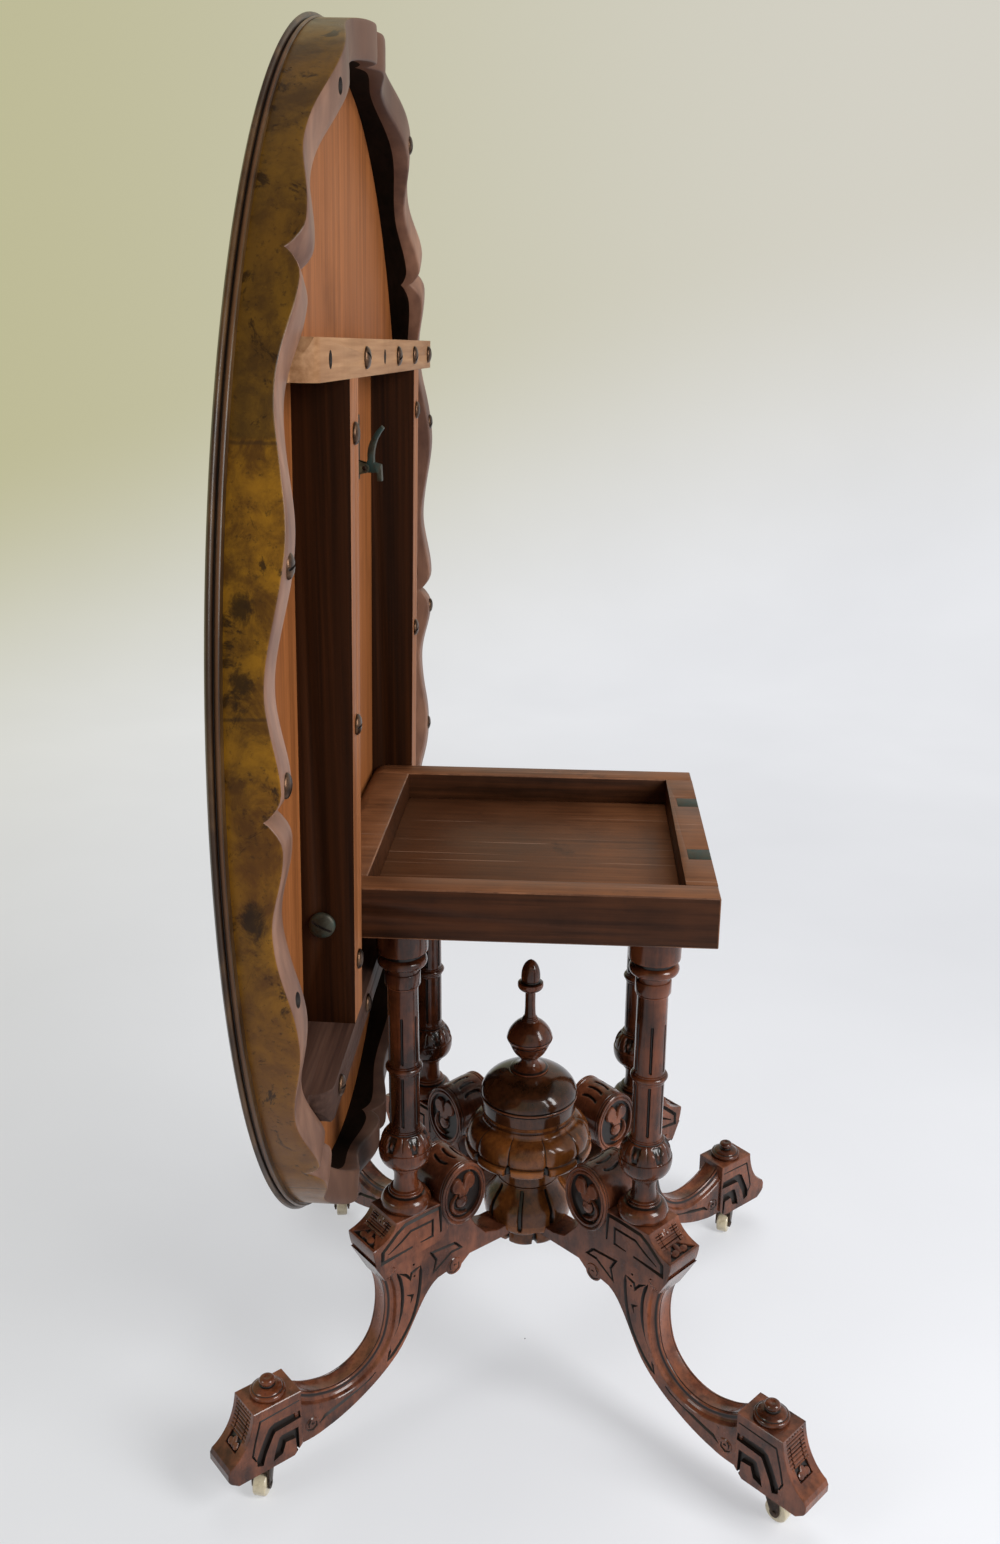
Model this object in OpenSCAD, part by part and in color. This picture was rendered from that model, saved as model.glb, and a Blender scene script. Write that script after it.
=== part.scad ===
// Oval tilt-top centre table: a serpentine-fronted oval top that tips up on two
// pivot bolts, over a block on four turned columns and four carved scroll legs.
// Origin on the floor under the middle of the base. +Z is up, +Y points away from
// the viewer, and the tipped-up top stands at the -X side with its underside to +X.

/* [Tilting top] */
// Half of the long diameter of the top, over its moulding
top_half_length = 610; // [560:1:700]
// Half of the short diameter of the top, over its moulding
top_half_width = 524; // [490:1:600]
// Thickness of the top board
board_t = 13; // [12:1:18]
// Width of the moulded rim around the board
rim_w = 20; // [16:1:30]
// Lean of the tipped-up top toward the block, in degrees
lean = 1; // [0:0.25:3]
// Height of the middle of the top above its pivot
centre_above_pivot = 200; // [185:1:205]
// Distance of the pivot line from the underside and from the block's top
pivot_in = 20; // [16:1:24]
// Distance of the oval's middle from the middle of the bearers, away from the pivot
oval_shift = 14; // [0:1:16]
// Running gap between the underside and the block
stop_gap = 0.3; // [0.2:0.1:1]

/* [Serpentine frieze] */
// How far the frieze's outer face is set in from the long sides of the top
frieze_inset = 14; // [10:1:18]
// How far the frieze's outer face is set in from the ends of the top
frieze_end_inset = 4; // [4:1:14]
// Thickness of the frieze
frieze_t = 34; // [26:1:38]
// Depth of the frieze at the pointed notches
notch_depth = 28; // [24:1:30]
// Depth of the frieze at the small lobes beside each notch
small_lobe_depth = 42; // [36:1:46]
// Depth of the frieze at the hollows
hollow_depth = 30.5; // [26:0.5:33]
// Depth of the frieze at the long lobes
long_lobe_depth = 44; // [38:1:48]

/* [Bearers and battens] */
// Thickness of each bearer, across the table
bearer_t = 44; // [36:1:50]
// Depth of the bearers and battens below the top
bearer_d = 51; // [46:1:58]
// Width of each batten
batten_w = 33; // [28:1:40]
// Distance from the middle of the top to the near side of each batten
batten_at = 305; // [290:1:320]
// Gap between the ends of the battens and the frieze
batten_end_gap = 1; // [0.5:0.5:6]
// Radius of the rounded batten ends
batten_round = 20; // [12:1:26]

/* [Block] */
// Height of the block's top above the floor
block_top = 705; // [680:1:740]
// Thickness of the block
block_t = 54; // [50:1:64]
// Reach of the block to the left of the middle, where the top stands
block_left = 214; // [208:1:222]
// Reach of the block to the right of the middle
block_right = 191; // [180:1:196]
// Half of the block's depth
block_half_depth = 205; // [198:1:212]
// Gap between each side of the block and the bearer beside it
side_gap = 1; // [0.5:0.5:3]
// Width of the long rails at the front and back of the block
rail_w = 34; // [30:1:44]
// Width of the rail at the pivot side
left_rail_w = 52; // [44:1:60]
// Width of the rail at the catch side
right_rail_w = 32; // [28:1:40]
// Depth of the recess in the block's top
tray_depth = 32; // [24:1:35]
// Depth of the tongues' undersides below the floor of the recess
panel_t = 12; // [8:1:16]
// Depth of the groove that holds the panel in the rails
panel_tongue = 6; // [4:1:8]

/* [Columns and legs] */
// Distance from the middle to each column
column_at = 181; // [178:1:184]
// Direction of each leg from the table's long axis, in degrees
leg_angle = 42; // [41:0.5:45]
// Radius of the column shafts
shaft_r = 17; // [15:0.5:18]
// Radius of the column base, ball and cap
ball_r = 28; // [26:0.5:28.5]
// Height of the leg blocks' tops, where the columns stand
leg_top = 284; // [274:1:290]
// Length of each column's tenon into the block and the leg
tenon_len = 16; // [12:1:20]
// Radius of each column's tenons
tenon_r = 9; // [7:0.5:11]
// Half thickness of the curved legs
leg_half_t = 19; // [16:0.5:21]
// Half thickness of the moulded front edge of the legs
leg_front_half_t = 12; // [10:0.5:14]
// Width of the moulding along the front of the legs
leg_moulding_w = 11; // [8:1:13]
// Half thickness of the leg blocks
cheek_half_t = 26; // [24:0.5:28]
// Half thickness of the scrolls
scroll_half_t = 30; // [27:0.5:32]
// Half thickness of the feet
foot_half_t = 22; // [21:0.5:25]
// Height of the feet's undersides above the floor
foot_clear = 42; // [41:1:46]
// Distance from the middle to the outer tip of each foot
toe_reach = 431; // [429:1:444]

/* [Centre ornament] */
// Radius of the vase between the legs
vase_r = 50; // [47:1:52]
// Height of the vase's lower edge
vase_bottom = 175; // [171:1:178]
// Radius of the lobed skirt
skirt_r = 78; // [70:1:80]
// Number of lobes of the skirt
skirt_lobes = 10; // [6:1:12]
// Radius of the dome
dome_r = 58; // [52:1:60]
// Height of the finial, from the dome to its tip
finial_h = 143; // [138:1:165]

/* [Castors] */
// Distance from the middle to each castor
castor_at = 377; // [372:1:386]
// Radius of the castor wheels
wheel_r = 13.5; // [12:0.5:14]
// Width of the castor wheels
wheel_w = 15; // [12:0.5:17]
// Distance of the wheel's axle from the swivel
castor_trail = 9; // [6:1:12]
// Radius of the castor axles
axle_r = 2.5; // [2:0.25:3]
// Radial running clearance of axles, pins and bolts
running_gap = 0.08; // [0.03:0.01:0.1]

/* [Metalwork] */
// Radius of the pivot bolts
bolt_r = 6; // [5:0.5:7]
// Length of the pivot bolts inside the block
bolt_in_block = 30; // [24:1:40]
// Radius of the pivot bolt heads
bolt_head_r = 13; // [11:0.5:15]
// Radius of the domed screw heads
screw_head_r = 10; // [8:0.5:11]
// Radius of the screw shanks
screw_shank_r = 2.5; // [2:0.25:3]
// Distance from the middle to each catch, across the table
catch_at = 85; // [70:1:110]
// Length of the catch plates
catch_len = 70; // [60:1:80]
// Width of the catch plates
catch_w = 36; // [32:1:44]
// Thickness of the catch plates and keeper plates
plate_t = 3; // [2:0.5:4]
// Width of the catch levers
lever_w = 12; // [9:1:14]

/* [Hidden] */

$fn = 64;
oval_sides = 120;
bays = 8;
block_bottom = block_top - block_t;
pivot_x = pivot_in - block_left;
pivot_z = block_top - pivot_in + stop_gap;
bearer_in = block_half_depth + side_gap;
bearer_out = bearer_in + bearer_t;
column_h = block_bottom - leg_top;
walnut = [0.45, 0.27, 0.12];
mahogany = [0.36, 0.17, 0.10];
deal = [0.72, 0.48, 0.28];
iron = [0.20, 0.19, 0.18];
brass = [0.55, 0.42, 0.20];
ceramic = [0.90, 0.86, 0.76];

// Compass directions of the four legs, by name
function leg_turn(x_side, y_side) = atan2(y_side * sin(leg_angle), x_side * cos(leg_angle));

// Points of an oval with the given half axes, set off along its normals.
// The first half axis runs across the table and the second along it.
function oval_point(t, a, b, off) =
    let (nx = sin(t) * b, ny = cos(t) * a, len = norm([nx, ny]))
    [a * sin(t) + off * nx / len, oval_shift + b * cos(t) + off * ny / len];
function oval(a, b, off) =
    [for (i = [0 : oval_sides - 1]) oval_point(360 * i / oval_sides, a, b, off)];

// One point of a cubic curve through control points p, at t from 0 to 1
function cubic(p, t) =
    pow(1 - t, 3) * p[0] + 3 * pow(1 - t, 2) * t * p[1]
    + 3 * (1 - t) * t * t * p[2] + pow(t, 3) * p[3];
function curve(p, steps) = [for (i = [0 : steps]) cubic(p, i / steps)];
// Arc of a circle about [x, y], from angle a0 to a1
function arc(x, y, r, a0, a1, steps) =
    [for (i = [0 : steps]) [x + r * cos(a0 + (a1 - a0) * i / steps),
                            y + r * sin(a0 + (a1 - a0) * i / steps)]];

// Draws in the top's own frame: x across the table, y along the top and z out
// of the underside, from the middle of the underside
module on_top() {
    translate([pivot_x, 0, pivot_z]) rotate([0, lean, 0])
        translate([-pivot_in, 0, centre_above_pivot]) rotate([90, 0, 90]) children();
}

// Closed ring of equal cross sections, one list of points for each section
module ring_of(sections) {
    n = len(sections);
    m = len(sections[0]);
    polyhedron(
        points = [for (s = sections) for (p = s) p],
        faces = [for (i = [0 : n - 1]) for (j = [0 : m - 1])
            let (k = (i + 1) % n, l = (j + 1) % m)
            [i * m + j, i * m + l, k * m + l, k * m + j]]);
}

// Top board
module top_board() {
    color(walnut) on_top() translate([0, 0, -board_t]) linear_extrude(board_t)
        polygon(oval(top_half_width, top_half_length, -rim_w));
}

// Moulded edge: thumb moulding over a quirk and a small bead
rim_edge = concat(
    [[-rim_w, 0], [-rim_w, -board_t]],
    curve([[-rim_w + 2, -board_t], [-12, -board_t + 0.3], [-3, -board_t + 2.2], [0, -board_t + 4.6]], 5),
    curve([[0, -7], [0, -6], [-1, -5], [-5, -4.5]], 3),
    arc(-5, -1.6, 2.4, -70, 40, 3), [[-3.1, 0]]);
module rim_moulding() {
    color(walnut) on_top() ring_of([for (i = [0 : oval_sides - 1])
        [for (p = rim_edge)
            let (q = oval_point(360 * i / oval_sides, top_half_width, top_half_length, p[0]))
            [q[0], q[1], p[1]]]]);
}

// Depth of the frieze at a share s of a bay, where 0 and 1 are its notches
lobe_at = 0.055;
hollow_at = 0.24;
function swell(s, low, high) = low + (high - low) * (1 - cos(180 * s)) / 2;
function half_bay_depth(s) =
    s < lobe_at ? notch_depth + (small_lobe_depth - notch_depth) * pow(sin(90 * s / lobe_at), 0.8)
    : s < hollow_at ? swell((s - lobe_at) / (hollow_at - lobe_at), small_lobe_depth, hollow_depth)
    : swell((s - hollow_at) / (0.5 - hollow_at), hollow_depth, long_lobe_depth);
function frieze_depth(s) = half_bay_depth(min(s, 1 - s));
half_bay_steps = [0, 0.012, 0.03, 0.055, 0.09, 0.13, 0.18, 0.24, 0.31, 0.37, 0.43];
bay_steps = concat(half_bay_steps, [0.5],
    [for (i = [len(half_bay_steps) - 1 : -1 : 1]) 1 - half_bay_steps[i]]);
frieze_a = top_half_width - frieze_inset;
frieze_b = top_half_length - frieze_end_inset;
// Angle on the oval at a share of its length. The bays are about equally long, with
// the notches set out by eye: a little toward the pivot, and toward the long sides.
notch_drop = 1.6;
notch_spread = 1.8;
notch_nudge = [0, -3, 0, 0, 0, 0, 0, 0];
function even_angle(f) =
    let (g = (f * bays + 2 * bays) % bays, k = floor(g), part = g - k,
        nudge = notch_nudge[k % 8] * (1 - part) + notch_nudge[(k + 1) % 8] * part)
    360 * f + notch_drop * sin(360 * f) + nudge
    + (notch_spread + 90 / PI * (frieze_b - frieze_a) / (frieze_b + frieze_a)) * sin(720 * f);
// Place of a point of the frieze by bay number and share of the bay
function frieze_point(bay, off) =
    oval_point(even_angle(bay / bays), frieze_a, frieze_b, off);
// Screws through the frieze into the top, by place along the bays, and two holes
// that have lost their screws
frieze_screw_bays = [0.52, 1.45, 2.06, 2.49, 3.5, 6.06, 6.46];
empty_hole_bays = [5.58, 7.45];
seat_in = 1.2;
function screw_place(bay) = concat(frieze_point(bay, -frieze_t / 2), [frieze_depth(bay - floor(bay)) - seat_in]);
module frieze() {
    color(walnut) on_top() difference() {
        ring_of([for (bay = [0 : bays - 1]) for (s = bay_steps)
            let (o = frieze_point(bay + s, 0), i = frieze_point(bay + s, -frieze_t), d = frieze_depth(s))
            [[o[0], o[1], 0], [o[0], o[1], d], [i[0], i[1], d], [i[0], i[1], 0]]]);
        for (bay = frieze_screw_bays) translate(screw_place(bay)) {
            translate([0, 0, -screw_depth]) cylinder(h = screw_depth + 5, r = hole_r, $fn = 16);
            cylinder(h = 10, r = screw_head_r + 0.4, $fn = 32);
        }
        for (bay = empty_hole_bays) translate(screw_place(bay)) translate([0, 0, -screw_depth])
            cylinder(h = screw_depth + 5, r = 5.5, $fn = 24);
    }
}

// Bearers, which hang on the pivot bolts
pivot_along = -centre_above_pivot;
bearer_screw_at = [-245, -5, 259];
module bearer(side) {
    color(deal) on_top() difference() {
        translate([side > 0 ? bearer_in : -bearer_out, -batten_at, 0])
            cube([bearer_t, 2 * batten_at, bearer_d]);
        translate([side * (bearer_in - 1), pivot_along, pivot_in]) rotate([0, side * 90, 0])
            cylinder(h = bearer_t + 2, r = bolt_r + running_gap);
        for (y = bearer_screw_at) translate([side * (bearer_in + bearer_t / 2), y, bearer_d - screw_depth])
            cylinder(h = screw_depth + 1, r = hole_r);
    }
}

// Battens across the top at the ends of the bearers, with rounded ends
function batten_screw_at(side) = side > 0 ? [-160, 62, 205, 350] : [-337, -174, 62, 205];
function batten_hole_at(side) = side > 0 ? [-340, -36] : [];
// Half the clear width inside the frieze at the middle of a batten
function batten_half(side) = (frieze_a - frieze_t - batten_end_gap) * sqrt(1
    - pow((batten_at + batten_w / 2 - side * oval_shift) / (frieze_b - frieze_t - batten_end_gap), 2));
module batten(side) {
    half = batten_half(side);
    color(deal) on_top() difference() {
        intersection() {
            translate([0, side > 0 ? batten_at + batten_w : -batten_at, 0]) rotate([90, 0, 0])
                linear_extrude(batten_w) polygon(concat(
                    [[-half - 20, 0], [-half - 20, bearer_d - batten_round]],
                    arc(-half + batten_round, bearer_d - batten_round, batten_round, 180, 90, 8),
                    arc(half - batten_round, bearer_d - batten_round, batten_round, 90, 0, 8),
                    [[half + 20, bearer_d - batten_round], [half + 20, 0]]));
            linear_extrude(bearer_d + 1)
                polygon(oval(frieze_a, frieze_b, -frieze_t - batten_end_gap));
        }
        for (x = concat(batten_screw_at(side), batten_hole_at(side)))
            translate([x, side * (batten_at + batten_w / 2), bearer_d - screw_depth])
                cylinder(h = screw_depth + 1, r = hole_r);
        for (x = batten_hole_at(side))
            translate([x, side * (batten_at + batten_w / 2), bearer_d - 3])
                cylinder(h = 3.01, r1 = hole_r, r2 = screw_head_r * 0.7);
    }
}

// Domed screw standing on a face at z = 0, its shank in a hole below
screw_depth = 18;
hole_r = screw_shank_r + 0.1;
head_h = 5;
module screw() {
    rotate_extrude() polygon(concat(
        [[0, -screw_depth + 1], [screw_shank_r, -screw_depth + 3], [screw_shank_r, 0], [screw_head_r, 0]],
        [for (i = [0 : 5]) [screw_head_r * cos(15 * i), 1 + (head_h - 1) * sin(15 * i)]],
        [[0, head_h]]));
}
module frieze_screws() {
    color(iron) on_top() for (bay = frieze_screw_bays) translate(screw_place(bay)) screw();
}
module bearer_screws() {
    color(iron) on_top() for (side = [-1, 1]) for (y = bearer_screw_at)
        translate([side * (bearer_in + bearer_t / 2), y, bearer_d]) screw();
}
module batten_screws() {
    color(iron) on_top() for (side = [-1, 1]) for (x = batten_screw_at(side))
        translate([x, side * (batten_at + batten_w / 2), bearer_d]) screw();
}

// Catches on the underside, which reach the block's right edge when the top is down.
// Along the top, the block's right face then lies at this distance from the middle.
edge_along = block_right - pivot_x - centre_above_pivot;
catch_start = edge_along + 3;
catch_pin_along = edge_along + 17;
catch_pin_up = 12;
ear_t = 3;
pin_r = 2.5;
module catch_plates() {
    color(brass) on_top() for (side = [-1, 1]) translate([side * catch_at, 0, 0]) {
        translate([-catch_w / 2, catch_start, 0]) cube([catch_w, catch_len, plate_t]);
        difference() {
            for (ear = [-1, 1]) translate([ear * (lever_w + 1 + ear_t) / 2, catch_pin_along, 0])
                rotate([90, 0, 90]) linear_extrude(ear_t, center = true)
                    polygon(concat([[-8, plate_t]], [[8, plate_t]], arc(0, catch_pin_up, 5.5, 0, 180, 10)));
            translate([-catch_w, catch_pin_along, catch_pin_up]) rotate([0, 90, 0])
                cylinder(h = 2 * catch_w, r = pin_r + 0.02);
        }
    }
}
module catch_pins() {
    pin_len = lever_w + 1 + 2 * ear_t;
    color(iron) on_top() for (side = [-1, 1])
        translate([side * catch_at - pin_len / 2, catch_pin_along, catch_pin_up]) rotate([0, 90, 0])
            cylinder(h = pin_len, r = pin_r);
}

// Catch lever: a nose that swings in under the keeper, and a curved thumb piece.
// Its outline is drawn with x along the top and y out of the underside.
nose_drop = 16;
nose_reach = 14;
lever_outline = concat(
    [[-nose_reach, nose_drop + 3], [-nose_reach, nose_drop - 2.5], [-5, nose_drop - 3]],
    arc(0, 0, 5, 180, 380, 10),
    curve([[9, 3], [22, 2], [34, 6], [46, 18]], 6),
    curve([[43, 21], [32, 12], [20, 9], [6, 10]], 6),
    [[4, nose_drop + 2]]);
module catch_lever(side) {
    color(iron) on_top() translate([side * catch_at, catch_pin_along, catch_pin_up]) difference() {
        translate([-lever_w / 2, 0, 0]) rotate([90, 0, 90]) linear_extrude(lever_w) polygon(lever_outline);
        translate([-lever_w, 0, 0]) rotate([0, 90, 0]) cylinder(h = 2 * lever_w, r = pin_r + running_gap);
    }
}

// Block: four rails around a panel, with its pivot edge rounded about the pivot
stop_r = pivot_in - stop_gap;
stop_x = pivot_x - stop_r * cos(lean);
stop_z = pivot_z + stop_r * sin(lean);
module block_outline() {
    rotate([90, 0, 0]) translate([0, 0, -block_half_depth]) linear_extrude(2 * block_half_depth)
        polygon(concat(
            [[block_right, block_bottom], [block_right, block_top]],
            arc(pivot_x, pivot_z, stop_r, 90, 180 - lean, 12),
            [[stop_x - (stop_z - block_bottom) * tan(lean), block_bottom]]));
}
module panel_tongues(grow) {
    translate([-block_left + left_rail_w - panel_tongue - grow, -block_half_depth + rail_w - panel_tongue - grow,
            block_top - tray_depth - panel_t - grow])
        cube([block_left + block_right - left_rail_w - right_rail_w + 2 * panel_tongue + 2 * grow,
            2 * (block_half_depth - rail_w + panel_tongue + grow), panel_t - tongue_drop + 2 * grow]);
}
panel_gap = 0.1;
tongue_drop = 3;
module column_mortises() {
    for (x = [-1, 1]) for (y = [-1, 1]) rotate([0, 0, leg_turn(x, y)])
        translate([column_at, 0, block_bottom - 1]) cylinder(h = tenon_len + 1.2, r = tenon_r + 0.1);
}
module bolt_holes() {
    for (side = [-1, 1]) translate([pivot_x, side * (block_half_depth + 1), pivot_z])
        rotate([side * 90, 0, 0]) cylinder(h = bolt_in_block + 1.5, r = bolt_r + 0.02);
}
module block_rail_long(side) {
    color(mahogany) difference() {
        intersection() {
            block_outline();
            translate([-block_left - 5, side > 0 ? block_half_depth - rail_w : -block_half_depth, block_bottom - 1])
                cube([block_left + block_right + 10, rail_w, block_t + 2]);
        }
        panel_tongues(panel_gap);
        bolt_holes();
    }
}
module block_rail_short(side) {
    inner = side > 0 ? block_right - right_rail_w : -block_left - 5;
    span = side > 0 ? right_rail_w : left_rail_w + 5;
    color(mahogany) difference() {
        intersection() {
            block_outline();
            translate([inner, -block_half_depth + rail_w, block_bottom - 1])
                cube([span, 2 * (block_half_depth - rail_w), block_t + 2]);
        }
        panel_tongues(panel_gap);
        column_mortises();
        if (side > 0) keeper_cuts();
    }
}
// Floor of the tray: a thick panel, tongued into the rails, that takes the columns' tenons
module block_panel() {
    color(mahogany) difference() {
        union() {
            panel_tongues(0);
            translate([-block_left + left_rail_w + panel_gap, -block_half_depth + rail_w + panel_gap, block_bottom])
                cube([block_left + block_right - left_rail_w - right_rail_w - 2 * panel_gap,
                    2 * (block_half_depth - rail_w - panel_gap), block_t - tray_depth]);
        }
        column_mortises();
    }
}

// Keeper plates in the top and the right face of the block, over a mortise each
keeper_in = 24;
keeper_w = 30;
keeper_lip = 22;
mortise_deep = 9;
mortise_tall = 14;
module keeper_shape(grow) {
    translate([block_right - keeper_in - grow, -keeper_w / 2 - grow, block_top - plate_t - grow])
        cube([keeper_in + 1 + grow, keeper_w + 2 * grow, plate_t + 1 + grow]);
    translate([block_right - plate_t - grow, -keeper_w / 2 - grow, block_top - keeper_lip - grow])
        cube([plate_t + 1 + grow, keeper_w + 2 * grow, keeper_lip + 1 + grow]);
}
module keeper_cuts() {
    for (side = [-1, 1]) translate([0, side * catch_at, 0]) {
        keeper_shape(0.05);
        translate([block_right - mortise_deep, -keeper_w / 2 + 2, block_top - keeper_lip - mortise_tall])
            cube([mortise_deep + 1, keeper_w - 4, mortise_tall + 0.5]);
    }
}
module keeper_plates() {
    color(brass) intersection() {
        for (side = [-1, 1]) translate([0, side * catch_at, 0]) keeper_shape(0);
        translate([0, -block_half_depth, 0]) cube([block_right, 2 * block_half_depth, block_top]);
    }
}

// Pivot bolts, screwed into the block, with round heads outside the bearers
module pivot_bolt(side) {
    head_gap = 0.6;
    color(iron) translate([pivot_x, side * block_half_depth, pivot_z]) rotate([-side * 90, 0, 0]) {
        translate([0, 0, -bolt_in_block]) cylinder(h = bolt_in_block + side_gap + bearer_t + head_gap, r = bolt_r);
        translate([0, 0, side_gap + bearer_t + head_gap]) rotate_extrude() polygon(concat(
            [[0, 0], [bolt_head_r, 0]],
            [for (i = [0 : 5]) [bolt_head_r * cos(15 * i), 2 + 5 * sin(15 * i)]], [[0, 7]]));
    }
}

// Turned column, its profile given from its seat on the leg up to the block
module column(x_side, y_side) {
    top = column_h;
    neck_r = shaft_r - 3.5;
    collar = shaft_r + 1.8;
    profile = concat(
        [[0, -tenon_len], [tenon_r, -tenon_len], [tenon_r, 0], [ball_r - 8, 0]],
        curve([[ball_r - 6, 0], [ball_r + 1.5, 1], [ball_r + 1.5, 12], [ball_r - 8, 17]], 7),
        [[shaft_r, 18.5], [shaft_r, 21], [neck_r + 1, 24]],
        curve([[neck_r, 26], [neck_r - 0.6, 34], [neck_r - 0.4, 42], [neck_r + 1, 49]], 4),
        [[shaft_r, 51], [shaft_r, 54], [ball_r - 11, 56]],
        curve([[ball_r - 9, 57], [ball_r + 1.6, 66], [ball_r + 2, 84], [ball_r - 9, 97]], 8),
        [[collar, 98], [collar, 101], [shaft_r + 1, 103]],
        [[shaft_r + 0.8, top - 195], [collar, top - 193], [collar + 1, top - 190], [collar, top - 187]],
        [[shaft_r, top - 185], [shaft_r - 0.4, top - 92], [collar - 1, top - 90], [collar + 0.5, top - 87]],
        [[collar + 0.5, top - 75], [shaft_r + 0.5, top - 73], [shaft_r + 1, top - 68]],
        curve([[ball_r - 5, top - 66], [ball_r - 1, top - 64], [ball_r - 1, top - 58], [ball_r - 5, top - 56]], 4),
        [[ball_r - 5, top - 51], [ball_r - 1, top - 49]],
        curve([[ball_r, top - 48], [ball_r + 0.6, top - 36], [ball_r - 1, top - 20], [ball_r, top - 8]], 4),
        [[ball_r, top], [tenon_r, top], [tenon_r, top + tenon_len], [0, top + tenon_len]]);
    color(mahogany) rotate([0, 0, leg_turn(x_side, y_side)]) translate([column_at, 0, leg_top]) difference() {
        rotate_extrude() polygon(profile);
        for (k = [0 : flutes - 1]) rotate([0, 0, 360 * k / flutes - 90 - leg_turn(x_side, y_side)]) {
            translate([shaft_r - flute_deep, -flute_w / 2, 107]) cube([9, flute_w, top - 198 - 107]);
            translate([shaft_r - flute_deep, -flute_w / 2, top - 182]) cube([9, flute_w, 57]);
        }
    }
}
flutes = 6;
flute_deep = 2.4;
flute_w = 3.6;

// Scroll leg. Its outlines are drawn with x outward from the middle and y up.
hub_flat = 34;
hub_low = 190;
hub_high = 204;
knee = leg_top - 68;
leg_curve_out = concat(
    curve([[229, knee], [217, knee - 20], [216, 161], [227, 132]], 8),
    curve([[227, 132], [239, 105], [271, 89], [302, 98]], 8),
    curve([[302, 98], [316, 102], [330, 107], [341, 120]], 4));
leg_curve_in = concat(
    curve([[341, foot_clear + 8], [331, 49], [319, 49], [308, 52]], 4),
    curve([[308, 52], [272, 58], [225, 82], [203, 108]], 7),
    curve([[203, 108], [185, 130], [171, 170], [150, 178]], 7),
    arc(127, 184, 11, -20, -160, 8),
    [[104, hub_low], [hub_flat, hub_low]]);
// A line of points moved sideways, to its left where d is above 0
function beside(p, d) = [for (i = [0 : len(p) - 1])
    let (a = p[max(i - 1, 0)], b = p[min(i + 1, len(p) - 1)], u = (b - a) / norm(b - a))
    p[i] + d * [-u[1], u[0]]];
function backwards(p) = [for (i = [len(p) - 1 : -1 : 0]) p[i]];
scroll_x = 120;
scroll_y = leg_top + 1;
scroll_rx = 31;
scroll_ry = 40;
module leg_plate() {
    linear_extrude(2 * leg_half_t, center = true) {
        polygon(concat(
            [[hub_flat, hub_high], [62, hub_high], [80, 209], [97, 229], [108, 252], [140, leg_top - 1],
                [212, leg_top - 6]],
            beside(leg_curve_out, -leg_moulding_w), leg_curve_in));
        polygon(arc(325, foot_clear + 26, 9, 0, 345, 16));
    }
    linear_extrude(2 * leg_front_half_t, center = true)
        polygon(concat(leg_curve_out, backwards(beside(leg_curve_out, -leg_moulding_w - 5))));
}
module leg_cheeks() {
    linear_extrude(2 * cheek_half_t, center = true) polygon(concat(
        [[146, leg_top]],
        curve([[212, leg_top], [215, leg_top - 12], [227, leg_top - 20], [243, leg_top - 24]], 6),
        curve([[243, leg_top - 27], [242, leg_top - 40], [238, leg_top - 52], [228, knee - 1]], 5),
        [[222, knee + 12], [150, knee + 18], [140, knee + 30]]));
    linear_extrude(2 * scroll_half_t, center = true)
        polygon([for (t = [0 : 8 : 352]) [scroll_x + scroll_rx * cos(t), scroll_y + scroll_ry * sin(t)]]);
}
module foot() {
    toe_z = foot_clear + 26;
    linear_extrude(2 * foot_half_t, center = true) polygon(concat(
        [[339, foot_top], [397, foot_top]],
        curve([[397, foot_top], [400, foot_top - 27], [411, toe_z + 9], [toe_reach - 3, toe_z]], 7),
        [[toe_reach, toe_z - 5], [toe_reach, toe_z - 14], [toe_reach - 13, foot_clear], [350, foot_clear]],
        [[339, foot_clear + 11]]));
}
foot_top = 124;
boss_x = 368;
module leg(x_side, y_side) {
    color(mahogany) rotate([0, 0, leg_turn(x_side, y_side)]) difference() {
        rotate([90, 0, 0]) union() {
            leg_plate();
            leg_cheeks();
            foot();
        }
        translate([column_at, 0, leg_top - tenon_len - 0.2]) cylinder(h = 60, r = tenon_r + 0.1);
        translate([castor_at, 0, 0]) cylinder(h = foot_clear + stem_len + 0.2, r = stem_r + 0.05);
        translate([boss_x, 0, foot_top - boss_peg]) cylinder(h = 60, r = boss_peg_r + 0.1);
    }
}

// Turned boss on each foot
boss_peg = 10;
boss_peg_r = 5;
module foot_boss(x_side, y_side) {
    color(mahogany) rotate([0, 0, leg_turn(x_side, y_side)]) translate([boss_x, 0, foot_top])
        rotate_extrude() polygon(concat(
            [[0, -boss_peg + 0.2], [boss_peg_r, -boss_peg + 0.2], [boss_peg_r, 0], [17, 0]],
            curve([[18, 0], [19.5, 1], [19.5, 6], [16, 8]], 4),
            [[13, 9.5], [8, 11], [7, 12.5]],
            curve([[7, 12.5], [9.5, 15], [8, 20], [0, 20]], 4)));
}

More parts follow.
